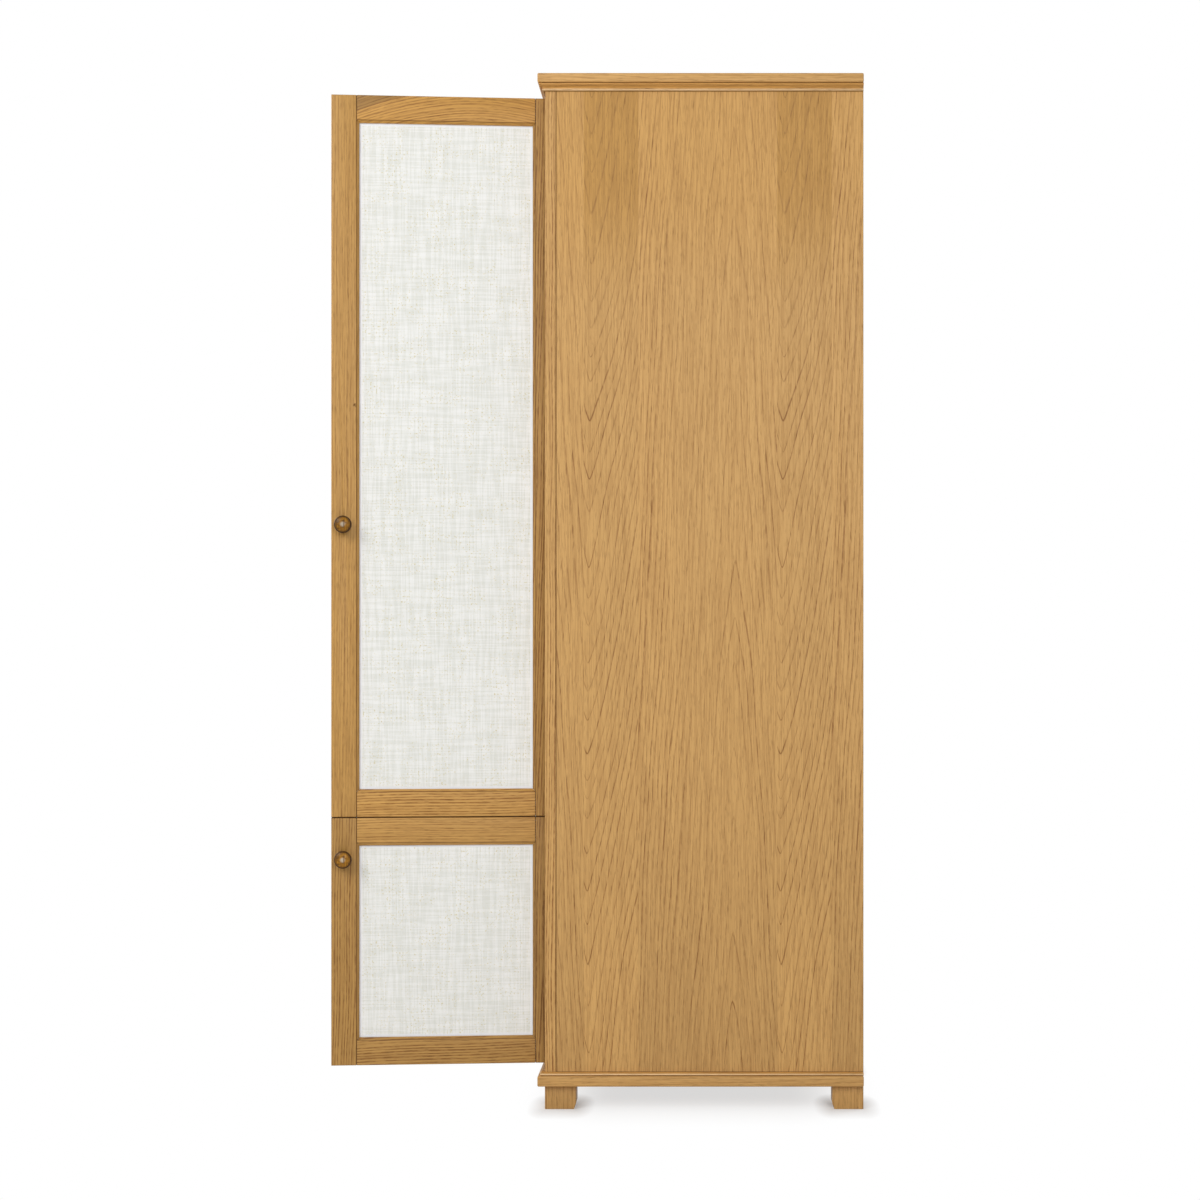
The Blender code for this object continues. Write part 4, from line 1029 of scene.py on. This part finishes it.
KNOB_HIGHLIGHT_BAND = (0.14, 0.38)
KNOB_HIGHLIGHT_SHARE = 0.80
KNOB_HIGHLIGHT_FROM = 0.96
KNOB_SPECULAR = 0.12
KNOB_COAT = 0.14
KNOB_COAT_ROUGHNESS = 0.18


def arc(centre, reach, start, end):
    """Points on part of an ellipse, as (radius, distance from the door)."""
    points = []
    for step in range(KNOB_ARC_STEPS + 1):
        angle = math.radians(start + (end - start) * step / KNOB_ARC_STEPS)
        out = centre[0] + reach[0] * math.cos(angle)
        points.append((out, centre[1] + reach[1] * math.sin(angle)))
    return points


for door in ("upper_door", "lower_door"):
    low, high = shut_box(door + "_knob")
    radius = (high.x - low.x) / 2
    length = high.y - low.y
    centre = Vector(((low.x + high.x) / 2, high.y, (low.z + high.z) / 2))
    head_start = length - KNOB_HEAD_LENGTH
    shoulder = length - KNOB_CROWN
    waist_middle = (KNOB_FOOT_LENGTH + head_start) / 2
    waist_half = (head_start - KNOB_FOOT_LENGTH) / 2
    profile = [(0.0, KNOB_BORE_DEPTH), (KNOB_BORE_RADIUS, KNOB_BORE_DEPTH), (KNOB_BORE_RADIUS, 0.0)]
    profile += [(KNOB_FOOT_RADIUS, 0.0)]
    waist_reach = (KNOB_WAIST_RADIUS - KNOB_FOOT_RADIUS, waist_half)
    profile += arc((KNOB_FOOT_RADIUS, waist_middle), waist_reach, -90, 90)
    back_reach = (radius - KNOB_FOOT_RADIUS, KNOB_BACK_ROUNDING)
    profile += arc((KNOB_FOOT_RADIUS, head_start + KNOB_BACK_ROUNDING), back_reach, -90, 0)[1:]
    profile += arc((0.0, shoulder), (radius, KNOB_CROWN), 0, 90)
    bpy.ops.object.select_all(action="DESELECT")
    bpy.ops.mesh.primitive_circle_add(vertices=3, radius=KNOB_START_RADIUS, fill_type="NOTHING")
    knob = bpy.context.object
    knob.name = door + "_knob_turned"
    knob.data.clear_geometry()
    points = [centre + Vector((out, -along, 0.0)) for out, along in profile]
    edges = [(index, index + 1) for index in range(len(points) - 1)]
    knob.data.from_pydata(points, edges, [])
    bpy.ops.object.mode_set(mode="EDIT")
    bpy.ops.mesh.select_all(action="SELECT")
    bpy.ops.mesh.spin(steps=KNOB_TURNS, angle=2 * math.pi, center=centre, axis=(0.0, 1.0, 0.0))
    bpy.ops.mesh.select_all(action="SELECT")
    bpy.ops.mesh.remove_doubles(threshold=MERGE_DISTANCE)
    bpy.ops.mesh.normals_make_consistent(inside=False)
    bpy.ops.object.mode_set(mode="OBJECT")
    bpy.ops.object.shade_smooth_by_angle(angle=KNOB_SMOOTH_ANGLE)
    knob_oak, tree, shader, place = new_material(door + "_knob_oak")
    knob_place = board_position(tree, shut_position(tree, place), "XYZ", centre)
    parts = split(tree, knob_place)
    from_axis = tree.nodes.new("ShaderNodeVectorMath")
    from_axis.operation = "LENGTH"
    tree.links.new(join(tree, parts["X"], 0.0, parts["Z"]), from_axis.inputs[0])
    off_axis = from_axis.outputs["Value"]
    # Painted shade: dark towards the rim and on the waist, over the stain's own blotches.
    rim_shade_band = [radius * share for share in KNOB_RIM_SHADE_BAND]
    rim_shade = spread(tree, off_axis, *rim_shade_band)
    waist_shade = spread(tree, parts["Y"], -shoulder, -head_start)
    blotch = mottle(tree, knob_place, *KNOB_BLOTCHES)
    stain_and_shade = calculate(tree, "MAXIMUM", calculate(tree, "MAXIMUM", rim_shade, blotch), waist_shade)
    # A painted highlight pales the middle of the crown.
    highlight_band = [radius * share for share in KNOB_HIGHLIGHT_BAND]
    painted_highlight = spread(tree, off_axis, *highlight_band, KNOB_HIGHLIGHT_SHARE, 0.0)
    on_crown = spread(tree, parts["Y"], -shoulder, -length * KNOB_HIGHLIGHT_FROM)
    painted_highlight = calculate(tree, "MULTIPLY", painted_highlight, on_crown)
    pale = blend_colours(tree, stain_and_shade, KNOB_PALE, KNOB_RIM_SHADE)
    dark = blend_colours(tree, stain_and_shade, KNOB_DARK, KNOB_RIM_SHADE)
    pale = blend_colours(tree, painted_highlight, pale, KNOB_PAINTED_HIGHLIGHT)
    values = dict(pale=pale, dark=dark, tone=KNOB_TONES[door])
    oak_finish(tree, shader, knob_place, **KNOB_GRAIN, **values)
    shader.inputs["Specular IOR Level"].default_value = KNOB_SPECULAR
    shader.inputs["Coat Weight"].default_value = KNOB_COAT
    shader.inputs["Coat Roughness"].default_value = KNOB_COAT_ROUGHNESS
    paint(knob, knob_oak)
    hang_open(knob, door)
    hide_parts(door + "_knob")


# Hinges
# Concealed hinges of pressed steel, nickel plated. The cup is let into the door's stile and
# turns on a pin in the eye of a cranked arm, which ends in a plate on the side panel.
STEEL_ROUNDING = 0.0003
NICKEL = (0.620, 0.610, 0.590, 1.0)
NICKEL_DULL = (0.480, 0.470, 0.450, 1.0)
NICKEL_BRUSHING = (900.0, 900.0, 60.0)
NICKEL_ROUGHNESS = (0.2, 0.8, 0.22, 0.40)
NICKEL_BUMP = (0.10, 0.0001)

nickel, tree, shader, place = new_material("nickel_plate")
shader.inputs["Metallic"].default_value = 1.0
brushed = cloud(tree, place, NICKEL_BRUSHING)
tree.links.new(blend_colours(tree, brushed, NICKEL, NICKEL_DULL), shader.inputs["Base Color"])
tree.links.new(spread(tree, brushed, *NICKEL_ROUGHNESS), shader.inputs["Roughness"])
add_bump(tree, shader, brushed, *NICKEL_BUMP)

for name in list(frame["nodes"]):
    if "_hinge_cup_" in name or "_hinge_arm_" in name:
        finished_copy(name, STEEL_ROUNDING, nickel)
    elif "_hinge_pin_" in name or name.endswith("_knob_screw"):
        paint(frame["nodes"][name], nickel)
